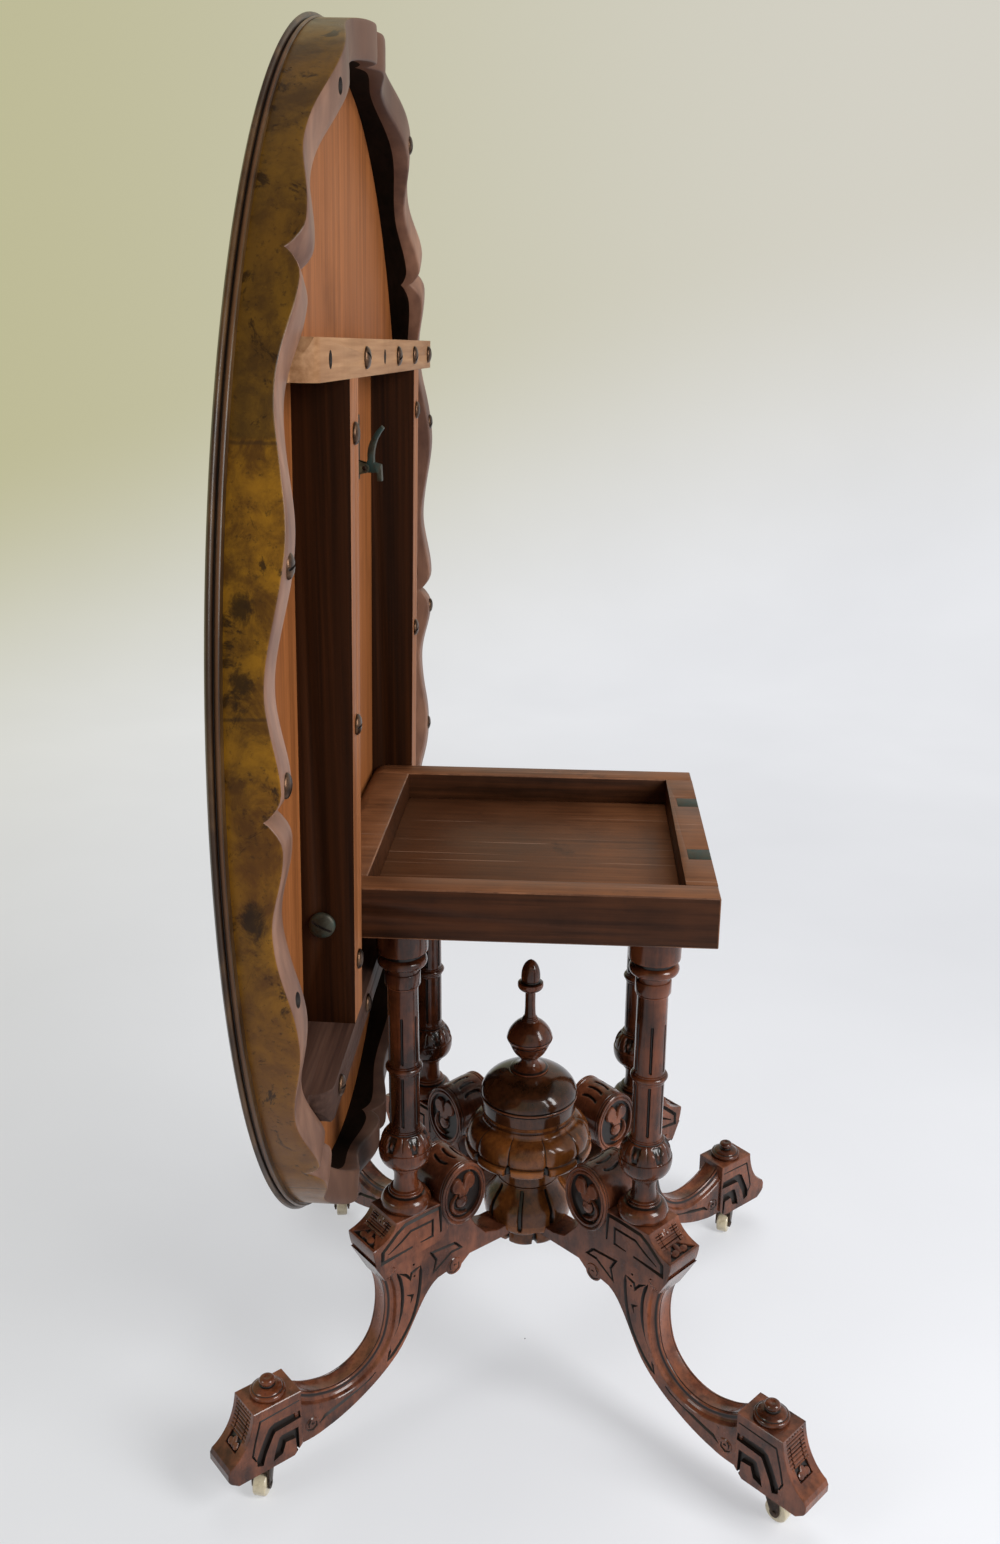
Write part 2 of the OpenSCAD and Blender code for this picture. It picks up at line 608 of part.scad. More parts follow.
// Vase between the legs: a bell with a slot in each lobe, and petals under the lobes
skirt_bottom = 287;
skirt_top = 330;
vase_lobes = 8;
vase_turn = -98;
module hub_vase() {
    profile = concat(
        [[0, vase_bottom + 2], [vase_r - 14, vase_bottom + 2], [vase_r - 10, vase_bottom]],
        curve([[vase_r - 8, vase_bottom], [vase_r - 2, vase_bottom + 1], [vase_r - 5, vase_bottom + 9],
            [vase_r - 5, vase_bottom + 17]], 4),
        curve([[vase_r, vase_bottom + 18], [vase_r + 6, vase_bottom + 32], [vase_r - 12, vase_bottom + 44],
            [vase_r - 14, vase_bottom + 72]], 8),
        [[vase_r - 14, skirt_bottom], [0, skirt_bottom]]);
    color(mahogany) difference() {
        rotate_extrude() polygon(profile);
        for (k = [0 : vase_lobes - 1]) rotate([0, 0, vase_turn + 360 * k / vase_lobes])
            translate([vase_r, 0, vase_bottom + 24]) rotate([0, -17, 0])
                cylinder(h = 49, r1 = 4, r2 = 2.2, $fn = 16);
        for (k = [0 : vase_lobes - 1]) rotate([0, 0, vase_turn + 360 * (k + 0.5) / vase_lobes])
            translate([vase_r + 1, 0, vase_bottom - 1]) cylinder(h = 25, r = 5, $fn = 20);
        for (x = [-1, 1]) for (y = [-1, 1]) rotate([0, 0, leg_turn(x, y)])
            translate([hub_flat, -leg_half_t - 0.1, hub_low - 0.1])
                cube([60, 2 * leg_half_t + 0.2, hub_high - hub_low + 0.2]);
    }
}

// Lobed skirt on the vase: a bell whose thin lower lip is notched into lobes
module lobed_skirt() {
    color(mahogany) difference() {
        rotate_extrude() polygon(concat(
            [[0, skirt_bottom], [vase_r, skirt_bottom], [skirt_r - 5, skirt_bottom + 1],
                [skirt_r, skirt_bottom + 4], [skirt_r, skirt_bottom + 10], [skirt_r - 4, skirt_bottom + 13]],
            curve([[skirt_r - 5, skirt_bottom + 14], [skirt_r - 1, skirt_bottom + 27],
                [skirt_r - 10, skirt_bottom + 38], [dome_r - 3, skirt_top - 2]], 7),
            [[dome_r - 4, skirt_top], [0, skirt_top]]));
        for (k = [0 : skirt_lobes - 1]) rotate([0, 0, 360 * (k + 0.5) / skirt_lobes - 89])
            translate([skirt_r + 2, 0, skirt_bottom - 1]) cylinder(h = 14, r = 5, $fn = 20);
    }
}

// Dome on the skirt
dome_h = 63;
dome_seat_r = 24;
module dome() {
    widest = 32;
    rise = (dome_h - widest) / sqrt(1 - pow(dome_seat_r / dome_r, 2));
    color(mahogany) translate([0, 0, skirt_top]) rotate_extrude() polygon(concat(
        [[0, 0], [dome_r - 6, 0]],
        curve([[dome_r - 5, 1], [dome_r - 2, 6], [dome_r - 2, 16], [dome_r - 2, 28]], 4),
        [for (i = [-1 : 11]) let (a = i * acos(dome_seat_r / dome_r) / 11)
            [dome_r * cos(a), widest + rise * sin(a)]],
        [[0, dome_h]]));
}

// Finial: spool, ball, stem and acorn
module finial() {
    color(mahogany) translate([0, 0, skirt_top + dome_h]) rotate_extrude() polygon(concat(
        [[0, 0], [dome_seat_r - 1, 0], [dome_seat_r - 1, 2]],
        curve([[dome_seat_r - 3, 3], [12, 7], [9.5, 9], [10, 16]], 5),
        curve([[10, 17], [17, 19], [24, 29], [27, 40]], 5),
        curve([[27.2, 43], [25, 54], [15, 63], [8.5, 66]], 6),
        [[6.6, 76], [6, 88], [6, finial_h - 40]],
        [[12, finial_h - 38], [15.2, finial_h - 33], [15, finial_h - 29], [11.5, finial_h - 26]],
        curve([[11.3, finial_h - 25], [11.3, finial_h - 12], [7, finial_h - 1], [0, finial_h]], 8)));
}

// Castors: a plate with its stem in the foot and a pin below, on which the fork turns
stem_r = 4;
stem_len = 22;
plate_r = 14;
swivel_r = 3;
crown_low = 32.5;
crown_high = foot_clear - 3;
module at_castor(x_side, y_side) {
    rotate([0, 0, leg_turn(x_side, y_side)]) translate([castor_at, 0, 0])
        rotate([0, 0, -leg_turn(x_side, y_side)]) children();
}
module castor_plate(x_side, y_side) {
    color(iron) at_castor(x_side, y_side) rotate_extrude() polygon([
        [0, crown_low - 2.4], [4.5, crown_low - 2.4], [4.5, crown_low - 0.3], [swivel_r, crown_low - 0.3],
        [swivel_r, crown_high + 0.3], [plate_r, crown_high + 0.3], [plate_r, foot_clear],
        [stem_r, foot_clear], [stem_r, foot_clear + stem_len], [0, foot_clear + stem_len]]);
}
cheek_in = wheel_w / 2 + 0.6;
cheek_t = 2.4;
// Headings of the four castors as they stand
function heading(x_side, y_side) = x_side < 0 ? (y_side < 0 ? -96 : -80) : (y_side < 0 ? -40 : -110);
module castor_fork(x_side, y_side) {
    color(iron) at_castor(x_side, y_side) rotate([0, 0, heading(x_side, y_side)]) difference() {
        union() {
            translate([0, 0, crown_low]) cylinder(h = crown_high - crown_low, r = 11);
            translate([0, -cheek_in - cheek_t, crown_low]) cube([castor_trail + 5, 2 * (cheek_in + cheek_t), 3]);
            for (side = [-1, 1]) translate([0, side * (cheek_in + cheek_t / 2), 0]) rotate([90, 0, 0])
                linear_extrude(cheek_t, center = true) polygon(concat(
                    [[castor_trail + 5, crown_low + 3], [-3, crown_low + 3], [-3, crown_low - 2]],
                    arc(castor_trail, wheel_r, 5.5, 160, 370, 8)));
        }
        translate([0, 0, crown_low - 1]) cylinder(h = 20, r = swivel_r + running_gap);
        translate([castor_trail, 0, wheel_r]) rotate([90, 0, 0]) cylinder(h = 60, r = axle_r + 0.02, center = true);
    }
}
module castor_axle(x_side, y_side) {
    color(iron) at_castor(x_side, y_side) rotate([0, 0, heading(x_side, y_side)])
        translate([castor_trail, 0, wheel_r]) rotate([90, 0, 0])
            cylinder(h = 2 * (cheek_in + cheek_t + 0.8), r = axle_r, center = true);
}
module castor_wheel(x_side, y_side) {
    soft = 2.5;
    color(ceramic) at_castor(x_side, y_side) rotate([0, 0, heading(x_side, y_side)])
        translate([castor_trail, 0, wheel_r]) rotate([90, 0, 0]) rotate_extrude() polygon(concat(
            [[axle_r + running_gap, -wheel_w / 2], [wheel_r - soft, -wheel_w / 2]],
            arc(wheel_r - soft, -wheel_w / 2 + soft, soft, -60, 0, 3),
            arc(wheel_r - soft, wheel_w / 2 - soft, soft, 0, 60, 3),
            [[wheel_r - soft, wheel_w / 2], [axle_r + running_gap, wheel_w / 2]]));
}

top_board();
rim_moulding();
frieze();
bearer(-1);  // bearer_near
bearer(1);  // bearer_far
batten(1);  // batten_upper
batten(-1);  // batten_lower
frieze_screws();
bearer_screws();
batten_screws();
catch_plates();
catch_pins();
catch_lever(-1);  // catch_lever_near
catch_lever(1);  // catch_lever_far
block_rail_long(-1);  // block_rail_near
block_rail_long(1);  // block_rail_far
block_rail_short(-1);  // block_rail_left
block_rail_short(1);  // block_rail_right
block_panel();
keeper_plates();
pivot_bolt(-1);  // pivot_bolt_near
pivot_bolt(1);  // pivot_bolt_far
column(-1, -1);  // column_near_left
column(1, -1);  // column_near_right
column(-1, 1);  // column_far_left
column(1, 1);  // column_far_right
leg(-1, -1);  // leg_near_left
leg(1, -1);  // leg_near_right
leg(-1, 1);  // leg_far_left
leg(1, 1);  // leg_far_right
foot_boss(-1, -1);  // foot_boss_near_left
foot_boss(1, -1);  // foot_boss_near_right
foot_boss(-1, 1);  // foot_boss_far_left
foot_boss(1, 1);  // foot_boss_far_right
hub_vase();
lobed_skirt();
dome();
finial();
castor_plate(-1, -1);  // castor_plate_near_left
castor_plate(1, -1);  // castor_plate_near_right
castor_plate(-1, 1);  // castor_plate_far_left
castor_plate(1, 1);  // castor_plate_far_right
castor_fork(-1, -1);  // castor_fork_near_left
castor_fork(1, -1);  // castor_fork_near_right
castor_fork(-1, 1);  // castor_fork_far_left
castor_fork(1, 1);  // castor_fork_far_right
castor_axle(-1, -1);  // castor_axle_near_left
castor_axle(1, -1);  // castor_axle_near_right
castor_axle(-1, 1);  // castor_axle_far_left
castor_axle(1, 1);  // castor_axle_far_right
castor_wheel(-1, -1);  // castor_wheel_near_left
castor_wheel(1, -1);  // castor_wheel_near_right
castor_wheel(-1, 1);  // castor_wheel_far_left
castor_wheel(1, 1);  // castor_wheel_far_right
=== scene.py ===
"""Looks of an oval tilt-top centre table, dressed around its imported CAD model.

Lengths are in millimetres in the piece descriptions and become metres where a mesh is made.
"""

import math
import random

import bmesh
import bpy
import numpy as np
from mathutils import Matrix, Vector


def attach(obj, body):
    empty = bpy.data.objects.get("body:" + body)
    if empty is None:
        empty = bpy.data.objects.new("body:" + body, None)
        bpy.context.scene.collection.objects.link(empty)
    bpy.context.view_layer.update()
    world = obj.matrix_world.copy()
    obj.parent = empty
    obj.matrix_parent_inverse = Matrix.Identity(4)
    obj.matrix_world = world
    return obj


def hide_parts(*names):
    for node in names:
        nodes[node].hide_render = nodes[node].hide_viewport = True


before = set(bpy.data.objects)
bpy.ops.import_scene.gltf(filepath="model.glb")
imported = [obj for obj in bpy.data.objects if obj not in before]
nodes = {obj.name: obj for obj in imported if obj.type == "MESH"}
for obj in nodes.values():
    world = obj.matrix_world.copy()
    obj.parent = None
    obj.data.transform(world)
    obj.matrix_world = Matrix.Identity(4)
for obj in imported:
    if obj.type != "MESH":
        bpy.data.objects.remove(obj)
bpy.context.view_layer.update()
dice = random.Random(7)

MM = 0.001

# Sizes of the table, as in the part's source
TOP_HALF_LENGTH = 610
TOP_HALF_WIDTH = 524
OVAL_SHIFT = 14
BOARD_T = 13
RIM_W = 20
FRIEZE_A = 510
FRIEZE_B = 606
FRIEZE_T = 34
NOTCH, SMALL_LOBE, HOLLOW, LONG_LOBE = 28, 42, 30.5, 44
BAYS = 8
NOTCH_NUDGE = np.array([0, -3, 0, 0, 0, 0, 0, 0])
BEARER_IN, BEARER_T, BEARER_D = 206, 44, 51
BATTEN_AT, BATTEN_W = 305, 33
LEAN = math.radians(1)
PIVOT = Vector((-194, 0, 685.3))
BLOCK_DEPTH = 205
LEG_ANGLE = math.radians(42)
LEG_TOP = 284
COLUMN_AT = 181
COLUMN_H = 367
FINIAL_AT = 393
BOSS_AT, BOSS_FOOT = 368, 124
CASTOR_AT, CASTOR_TRAIL, WHEEL_R = 377, 9, 13.5
CORNERS = {"near_left": (-1, -1), "near_right": (1, -1), "far_left": (-1, 1), "far_right": (1, 1)}

# The top's own frame: x across the table, y along the top, z out of the underside
TOP_FRAME = (
    Matrix.Translation(PIVOT)
    @ Matrix.Rotation(LEAN, 4, "Y")
    @ Matrix.Translation((-20, 0, 200))
    @ Matrix(((0, 0, 1, 0), (1, 0, 0, 0), (0, 1, 0, 0), (0, 0, 0, 1)))
)


# ---------------------------------------------------------------- finishes


class Tone:
    """A value or colour over a surface. Its operators add the Math nodes they stand for."""

    def __init__(self, finish, socket):
        self.finish = finish
        self.socket = socket

    def __add__(self, other):
        return self.finish.maths("ADD", self, other)

    def __sub__(self, other):
        return self.finish.maths("SUBTRACT", self, other)

    def __rsub__(self, other):
        return self.finish.maths("SUBTRACT", other, self)

    def __mul__(self, other):
        return self.finish.maths("MULTIPLY", self, other)

    def __truediv__(self, other):
        return self.finish.maths("DIVIDE", self, other)

    def __pow__(self, other):
        return self.finish.maths("POWER", self, other)

    def __abs__(self):
        return self.finish.maths("ABSOLUTE", self)

    __radd__ = __add__
    __rmul__ = __mul__

    def root(self):
        return self.finish.maths("SQRT", self)

    def at_least(self, other):
        return self.finish.maths("MAXIMUM", self, other)

    def step(self, low, high):
        """0 at low, 1 at high and smooth between; low may be above high."""
        return self.finish.node(
            "MapRange",
            {"interpolation_type": "SMOOTHSTEP"},
            {"Value": self, "From Min": low, "From Max": high},
        )


def most(tones):
    """The greatest of some values at each place."""
    greatest = tones[0]
    for tone in tones[1:]:
        greatest = greatest.at_least(tone)
    return greatest


class Finish:
    """A procedural material, built node by node."""

    def __init__(self, name, **surface):
        self.material = bpy.data.materials.new(name)
        self.material.use_nodes = True
        self.tree = self.material.node_tree
        self.surface = self.tree.nodes["Principled BSDF"]
        self.set(**surface)

    def plug(self, socket, value):
        if isinstance(value, Tone):
            self.tree.links.new(value.socket, socket)
        else:
            if socket.type == "RGBA" and len(value) == 3:
                value = (*value, 1)
            socket.default_value = value

    def node(self, kind, settings=None, inputs=None, output=0):
        made = self.tree.nodes.new("ShaderNode" + kind)
        for key, value in (settings or {}).items():
            setattr(made, key, value)
        for key, value in (inputs or {}).items():
            self.plug(made.inputs[key], value)
        return Tone(self, made.outputs[output])

    def maths(self, operation, a, b=None):
        values = {0: a} if b is None else {0: a, 1: b}
        return self.node("Math", {"operation": operation}, values)

    def mix(self, share, a, b):
        return self.node("Mix", {"data_type": "RGBA"}, {0: share, 6: a, 7: b}, output=2)

    def place(self):
        """Where a point of the surface lies, in the table's frame at rest, in metres."""
        return self.node("TexCoord", output="Object")

    def apart(self, vector):
        split = self.tree.nodes.new("ShaderNodeSeparateXYZ")
        self.plug(split.inputs[0], vector)
        return [Tone(self, split.outputs[i]) for i in range(3)]

    def noise(self, scale, stretch=(1, 1, 1), detail=4, rough=0.55, distort=0.0, vector=None):
        spread = {"Vector": vector or self.place(), "Scale": tuple(stretch)}
        return self.node(
            "TexNoise",
            None,
            {
                "Vector": self.node("Mapping", None, spread),
                "Scale": scale,
                "Detail": detail,
                "Roughness": rough,
                "Distortion": distort,
            },
        )

    def mask(self, name):
        """A value carried by the mesh, such as how deep in a carved hollow a point lies, which sets
        its painted shade.
        """
        return self.node("Attribute", {"attribute_name": name}, output="Fac")

    def bump(self, height, strength, distance):
        inputs = {"Height": height, "Strength": strength, "Distance": distance}
        self.set(Normal=self.node("Bump", None, inputs))

    def set(self, **sockets):
        for name, value in sockets.items():
            self.plug(self.surface.inputs[name.replace("_", " ")], value)


def shade(colour, by):
    return tuple(min(1, c * by) for c in colour)


def polished_wood(name, dark, light, grain, shine, coat=0.2):
    """French-polished wood with grain along one direction, painted shade and some dirt in its
    hollows, wear and painted highlight on marked bands, and dulled gloss.
    """
    f = Finish(name, Coat_Roughness=0.08, Coat_Weight=coat, Specular_IOR_Level=0.18)
    streaks = f.noise(60, grain, detail=5, rough=0.6)
    clouds = f.noise(11, detail=5, rough=0.65)
    pores = f.noise(420, grain, detail=2)
    tone = f.mix((streaks * 0.5 + clouds * 0.9 - 0.2).step(0.30, 0.74), dark, light)
    tone = f.mix(pores.step(0.56, 0.72) * 0.35, tone, shade(dark, 0.35))
    # Painted shade, with some dirt: the hollows go near black.
    hollow = f.mask("hollow")
    tone = f.mix(hollow.step(0.15, 0.85), tone, (0.007, 0.004, 0.003))
    # Wear and painted highlight: the marked bands go paler.
    wear_highlight = f.mask("rubbed")
    tone = f.mix(wear_highlight.step(0.2, 1.0) * 0.5, tone, shade(light, 2.1))
    scuffs = f.noise(38, detail=5, rough=0.7)
    f.set(Base_Color=tone, Roughness=(scuffs * 0.22 + shine - 0.08) + hollow * 0.2)
    f.bump(streaks * 0.5 + pores * 0.3 + scuffs * 0.2, 0.12, 0.0006)
    return f


mahogany = polished_wood(
    "leg mahogany", (0.026, 0.008, 0.005), (0.225, 0.070, 0.031), (1, 1, 0.25), 0.22, 0.4
)
turned = polished_wood(
    "turned mahogany", (0.014, 0.004, 0.002), (0.150, 0.040, 0.014), (1, 1, 0.10), 0.20, 0.45
)
dome_wood = polished_wood(
    "dome mahogany", (0.012, 0.005, 0.002), (0.100, 0.031, 0.011), (1, 1, 0.3), 0.14, 0.45
)
skirt_wood = polished_wood(
    "skirt mahogany", (0.026, 0.008, 0.003), (0.270, 0.086, 0.018), (1, 1, 0.5), 0.16, 0.4
)

# Near-black painted shade, for the faces cut by carving, slots and drilled holes.
ground = Finish("carved ground", Roughness=0.5)
ground.set(Base_Color=ground.mix(ground.noise(90), (0.005, 0.003, 0.002), (0.016, 0.008, 0.005)))


VENEER_JOINTS = (1.153, 0.962, 0.462)  # heights in metres
KNOTS = ((0.985, 0.013), (1.04, 0.014), (0.80, 0.020))  # heights and radii in metres


def burr_walnut():
    """Golden burr veneer with dark knots and mottling, in strips that meet at joints."""
    f = Finish("burr walnut", Coat_Roughness=0.16, Coat_Weight=0.05, Specular_IOR_Level=0.12)
    x, _, z = f.apart(f.place())
    swirl = f.noise(13, (1, 1, 0.7), detail=6, rough=0.62, distort=1.6)
    flame = f.noise(42, (1, 1, 0.8), detail=6, rough=0.75, distort=0.5)
    specks = f.noise(170, rough=0.7)
    tone = f.mix(
        (swirl * 0.8 + flame * 0.6 - 0.2).step(0.34, 0.66),
        (0.070, 0.028, 0.004),
        (0.235, 0.106, 0.007),
    )
    tone = f.mix(f.noise(4.5, detail=2).step(0.50, 0.68) * 0.5, tone, (0.140, 0.046, 0.006))
    tone = f.mix(z.step(1.151, 1.156) * 0.6, tone, (0.040, 0.021, 0.005))
    tone = f.mix(z.step(0.85, 0.60) * 0.6, tone, (0.150, 0.056, 0.012))
    knots = f.noise(21, (1, 1, 0.8), detail=7, rough=0.72, distort=0.8)
    tone = f.mix(knots.step(0.57, 0.64) * 0.85, tone, (0.016, 0.007, 0.002))
    for height, size in KNOTS:
        away = ((z - height) / size) ** 2 + ((x + 0.196) / 0.010) ** 2
        tone = f.mix((away + flame * 3.2 - 1.6).step(1.2, 0.2) * 0.85, tone, (0.012, 0.005, 0.002))
    tone = f.mix(specks.step(0.56, 0.70) * 0.6, tone, (0.025, 0.012, 0.004))
    joint = most([abs(z - height + flame * 0.004).step(0.0022, 0.0004) for height in VENEER_JOINTS])
    tone = f.mix(joint * 0.6, tone, (0.03, 0.014, 0.005))
    scuffs = f.noise(30, detail=6, rough=0.7)
    f.set(Base_Color=tone, Roughness=scuffs * 0.35 + 0.16)
    f.bump(swirl * 0.4 + specks * 0.3 + joint * -0.6, 0.15, 0.0007)
    return f


walnut = burr_walnut()


def rim_walnut():
    f = Finish("rim walnut", Coat_Roughness=0.14, Coat_Weight=0.12, Specular_IOR_Level=0.18)
    streaks = f.noise(22, (1, 1, 0.35), detail=6, rough=0.6, distort=0.5)
    tone = f.mix(streaks.step(0.35, 0.7), (0.022, 0.010, 0.004), (0.080, 0.040, 0.014))
    # Painted shade in the quirk; wear and painted highlight on the bead.
    tone = f.mix(f.mask("hollow").step(0.2, 0.9) * 0.8, tone, (0.012, 0.006, 0.004))
    tone = f.mix(f.mask("rubbed") * 0.7, tone, (0.115, 0.048, 0.018))
    f.set(Base_Color=tone, Roughness=f.noise(40) * 0.3 + 0.2)
    f.bump(streaks, 0.10, 0.0005)
    return f


rim_finish = rim_walnut()


OVAL_MIDDLE = 0.899  # height in metres


def veneer_face():
    """Quartered burr veneer of the show face, mirrored about both axes of the oval."""
    f = Finish("show face veneer", Coat_Roughness=0.06, Coat_Weight=0.6)
    x, y, z = f.apart(f.place())
    folded = f.node("CombineXYZ", None, {0: x, 1: abs(y), 2: abs(z - OVAL_MIDDLE)})
    swirl = f.noise(5, detail=7, rough=0.65, distort=2.4, vector=folded)
    flame = f.noise(18, (1, 1, 0.5), detail=5, rough=0.6, distort=1.2, vector=folded)
    tone = f.mix(
        (swirl * 0.8 + flame * 0.4 - 0.1).step(0.32, 0.70),
        (0.060, 0.024, 0.006),
        (0.230, 0.110, 0.026),
    )
    knots = f.noise(9, detail=6, rough=0.7, vector=folded)
    tone = f.mix(knots.step(0.58, 0.70) * 0.7, tone, (0.025, 0.011, 0.004))
    seam = abs(y).step(0.0012, 0.0002).at_least(abs(z - OVAL_MIDDLE).step(0.0012, 0.0002))
    tone = f.mix(seam * 0.7, tone, (0.02, 0.01, 0.004))
    f.set(Base_Color=tone, Roughness=f.noise(25) * 0.2 + 0.08)
    return f


show_face = veneer_face()


def plain_wood(
    name, dark, light, grain, rough=0.55, stained=0.3, lines=220, gloss=0.12, ends=False
):
    """Planed, unpolished wood with straight grain; it may darken to the top's two ends."""
    f = Finish(name, Specular_IOR_Level=gloss)
    streaks = f.noise(lines, grain)
    bands = f.noise(lines * 0.18, grain, detail=3)
    stains = f.noise(6, rough=0.6)
    tone = f.mix((streaks * 0.6 + bands * 0.6 - 0.1).step(0.25, 0.8), dark, light)
    tone = f.mix(stains.step(0.52, 0.75) * stained, tone, shade(dark, 0.4))
    # Wear and painted highlight where a mesh marks it.
    tone = f.mix(f.mask("rubbed") * 0.6, tone, shade(light, 1.5))
    if ends:
        z = f.apart(f.place())[2]
        near_end = most([z.step(0.50, 0.36), z.step(1.36, 1.46)])
        tone = f.mix(near_end * 0.7, tone, shade(dark, 0.6))
    f.set(Base_Color=tone, Roughness=stains * 0.2 + rough - 0.1)
    f.bump(streaks, 0.25, 0.0005)
    return f


underside = plain_wood("underside deal", (0.150, 0.048, 0.013), (0.310, 0.108, 0.032), (1, 1, 0.02))
bearer_side = plain_wood(
    "bearer side", (0.009, 0.003, 0.001), (0.050, 0.015, 0.004), (1, 1, 0.015), 0.5, 0.2
)
bearer_edge = plain_wood("bearer edge", (0.140, 0.045, 0.014), (0.340, 0.135, 0.052), (1, 1, 0.02))
batten_tan = plain_wood("batten tan", (0.190, 0.085, 0.034), (0.360, 0.200, 0.100), (1, 0.03, 1))
# A darker copy of the batten wood: painted shade for the lower batten, which lies in shadow.
batten_painted_shade = plain_wood("batten dark", (0.030, 0.014, 0.010), (0.085, 0.044, 0.030), (1, 0.03, 1))
frieze_edge = plain_wood(
    "frieze edge",
    (0.085, 0.042, 0.030),
    (0.260, 0.136, 0.086),
    (0.6, 0.6, 0.2),
    0.45,
    0.35,
    lines=80,
    gloss=0.2,
    ends=True,
)
# Near-black painted shade for the frieze's inner face, which lies in shadow.
frieze_inside_shade = plain_wood(
    "frieze inside", (0.003, 0.002, 0.001), (0.010, 0.005, 0.003), (1, 0.5, 0.2), 0.7, gloss=0.03
)


def block_wood():
    """Mahogany of the block: dark sides, and a paler, scratched top, paler partly from wear and
    partly from painted sheen; painted shade darkens the left of the recessed tray.
    """
    f = Finish("block mahogany", Specular_IOR_Level=0.13)
    place = f.place()
    x, _, z = f.apart(place)
    grain = f.noise(150, (0.04, 1, 1), rough=0.6)
    clouds = f.noise(9, detail=5, rough=0.65)
    mottled = (grain * 0.7 + clouds * 0.5 - 0.1).step(0.25, 0.8)
    sides = f.mix(mottled, (0.014, 0.005, 0.002), (0.066, 0.022, 0.008))
    # Painted sheen, partly wear: faces that look up get a paler copy of the wood than the sides.
    up = f.apart(f.node("NewGeometry", output="Normal"))[2].step(0.5, 0.9)
    mottled = (grain * 0.6 + clouds * 0.6).step(0.3, 0.85)
    top = f.mix(mottled, (0.052, 0.018, 0.007), (0.175, 0.068, 0.027))
    # Painted shade over the left of the recessed tray.
    tray_shade = z.step(0.698, 0.690) * x.step(0.16, -0.02) * 0.62
    top = f.mix(tray_shade, top, (0.034, 0.012, 0.005))
    tone = f.mix(up, sides, top)
    # Wear and painted highlight where a mesh marks it.
    tone = f.mix(f.mask("rubbed") * 0.75, tone, (0.30, 0.135, 0.062))
    stains = f.noise(13, detail=6, rough=0.75)
    tone = f.mix(stains.step(0.60, 0.72) * 0.6, tone, (0.018, 0.009, 0.006))
    lines = []
    for angle, spread in ((0.3, 150), (-0.9, 210), (1.4, 120)):
        turned_by = {"Vector": place, "Rotation": (0, 0, angle), "Scale": (3, spread, 1)}
        askew = f.node("Mapping", None, turned_by)
        line = f.node("TexNoise", None, {"Vector": askew, "Scale": 1.0, "Detail": 1.0})
        lines.append(line.step(0.735, 0.765))
    scratches = most(lines)
    tone = f.mix(scratches * up * 0.4, tone, (0.30, 0.17, 0.11))
    f.set(Base_Color=tone, Roughness=clouds * 0.3 + 0.26)
    f.bump(grain + scratches * -0.8, 0.2, 0.0005)
    return f


block_finish = block_wood()


def metal(name, dark, light, rough, tarnish=None, metallic=1.0):
    f = Finish(name, Metallic=metallic)
    blotch = f.noise(120, detail=5, rough=0.7)
    tone = f.mix(blotch.step(0.35, 0.7), dark, light)
    if tarnish:
        tone = f.mix(f.noise(60, detail=6, rough=0.75).step(0.45, 0.62), tone, tarnish)
    f.set(Base_Color=tone, Roughness=blotch * 0.3 + rough - 0.15)
    f.bump(blotch, 0.2, 0.0004)
    return f


iron = metal("tarnished iron", (0.030, 0.022, 0.018), (0.110, 0.075, 0.055), 0.42)
screw_bronze = metal("screw heads", (0.040, 0.022, 0.014), (0.150, 0.085, 0.050), 0.38)
verdigris = metal(
    "verdigris brass", (0.022, 0.020, 0.012), (0.060, 0.055, 0.034), 0.5, (0.016, 0.036, 0.031), 0.5
)
catch_brass = metal(
    "catch brass", (0.030, 0.024, 0.012), (0.110, 0.080, 0.036), 0.45, (0.014, 0.026, 0.022), 0.6
)


def ceramic_finish():
    f = Finish("ivory ceramic", Coat_Roughness=0.05, Coat_Weight=0.6)
    grime = f.noise(160, detail=5, rough=0.7)
    tone = f.mix(grime.step(0.45, 0.75) * 0.55, (0.60, 0.52, 0.36), (0.23, 0.16, 0.08))
    f.set(Base_Color=tone, Roughness=grime * 0.2 + 0.2)
    return f


ceramic = ceramic_finish()


# ---------------------------------------------------------------- pieces


# Masks a mesh carries: hollow sets painted shade, the other sets wear and painted highlight.
MASKS = ("hollow", "rubbed")


def finished(mesh, finishes):
    mesh.materials.clear()
    for finish in finishes:
        mesh.materials.append(finish.material)


def smoothed(mesh, sharp):
    """Smooth shading, apart from edges sharper than an angle in degrees."""
    mesh.polygons.foreach_set("use_smooth", [True] * len(mesh.polygons))
    mesh.set_sharp_from_angle(angle=math.radians(sharp))


def linked(name, data):
    """A new object in the scene, made of a mesh, a lamp or a lens."""
    made = bpy.data.objects.new(name, data)
    bpy.context.scene.collection.objects.link(made)
    return made


def place_piece(mesh, name, body, stands_for, sharp):
    """Puts a mesh in metres into the scene, riding on a CAD body."""
    smoothed(mesh, sharp)
    mesh.update()
    piece = linked(name, mesh)
    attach(piece, body)
    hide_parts(*stands_for)
    return piece


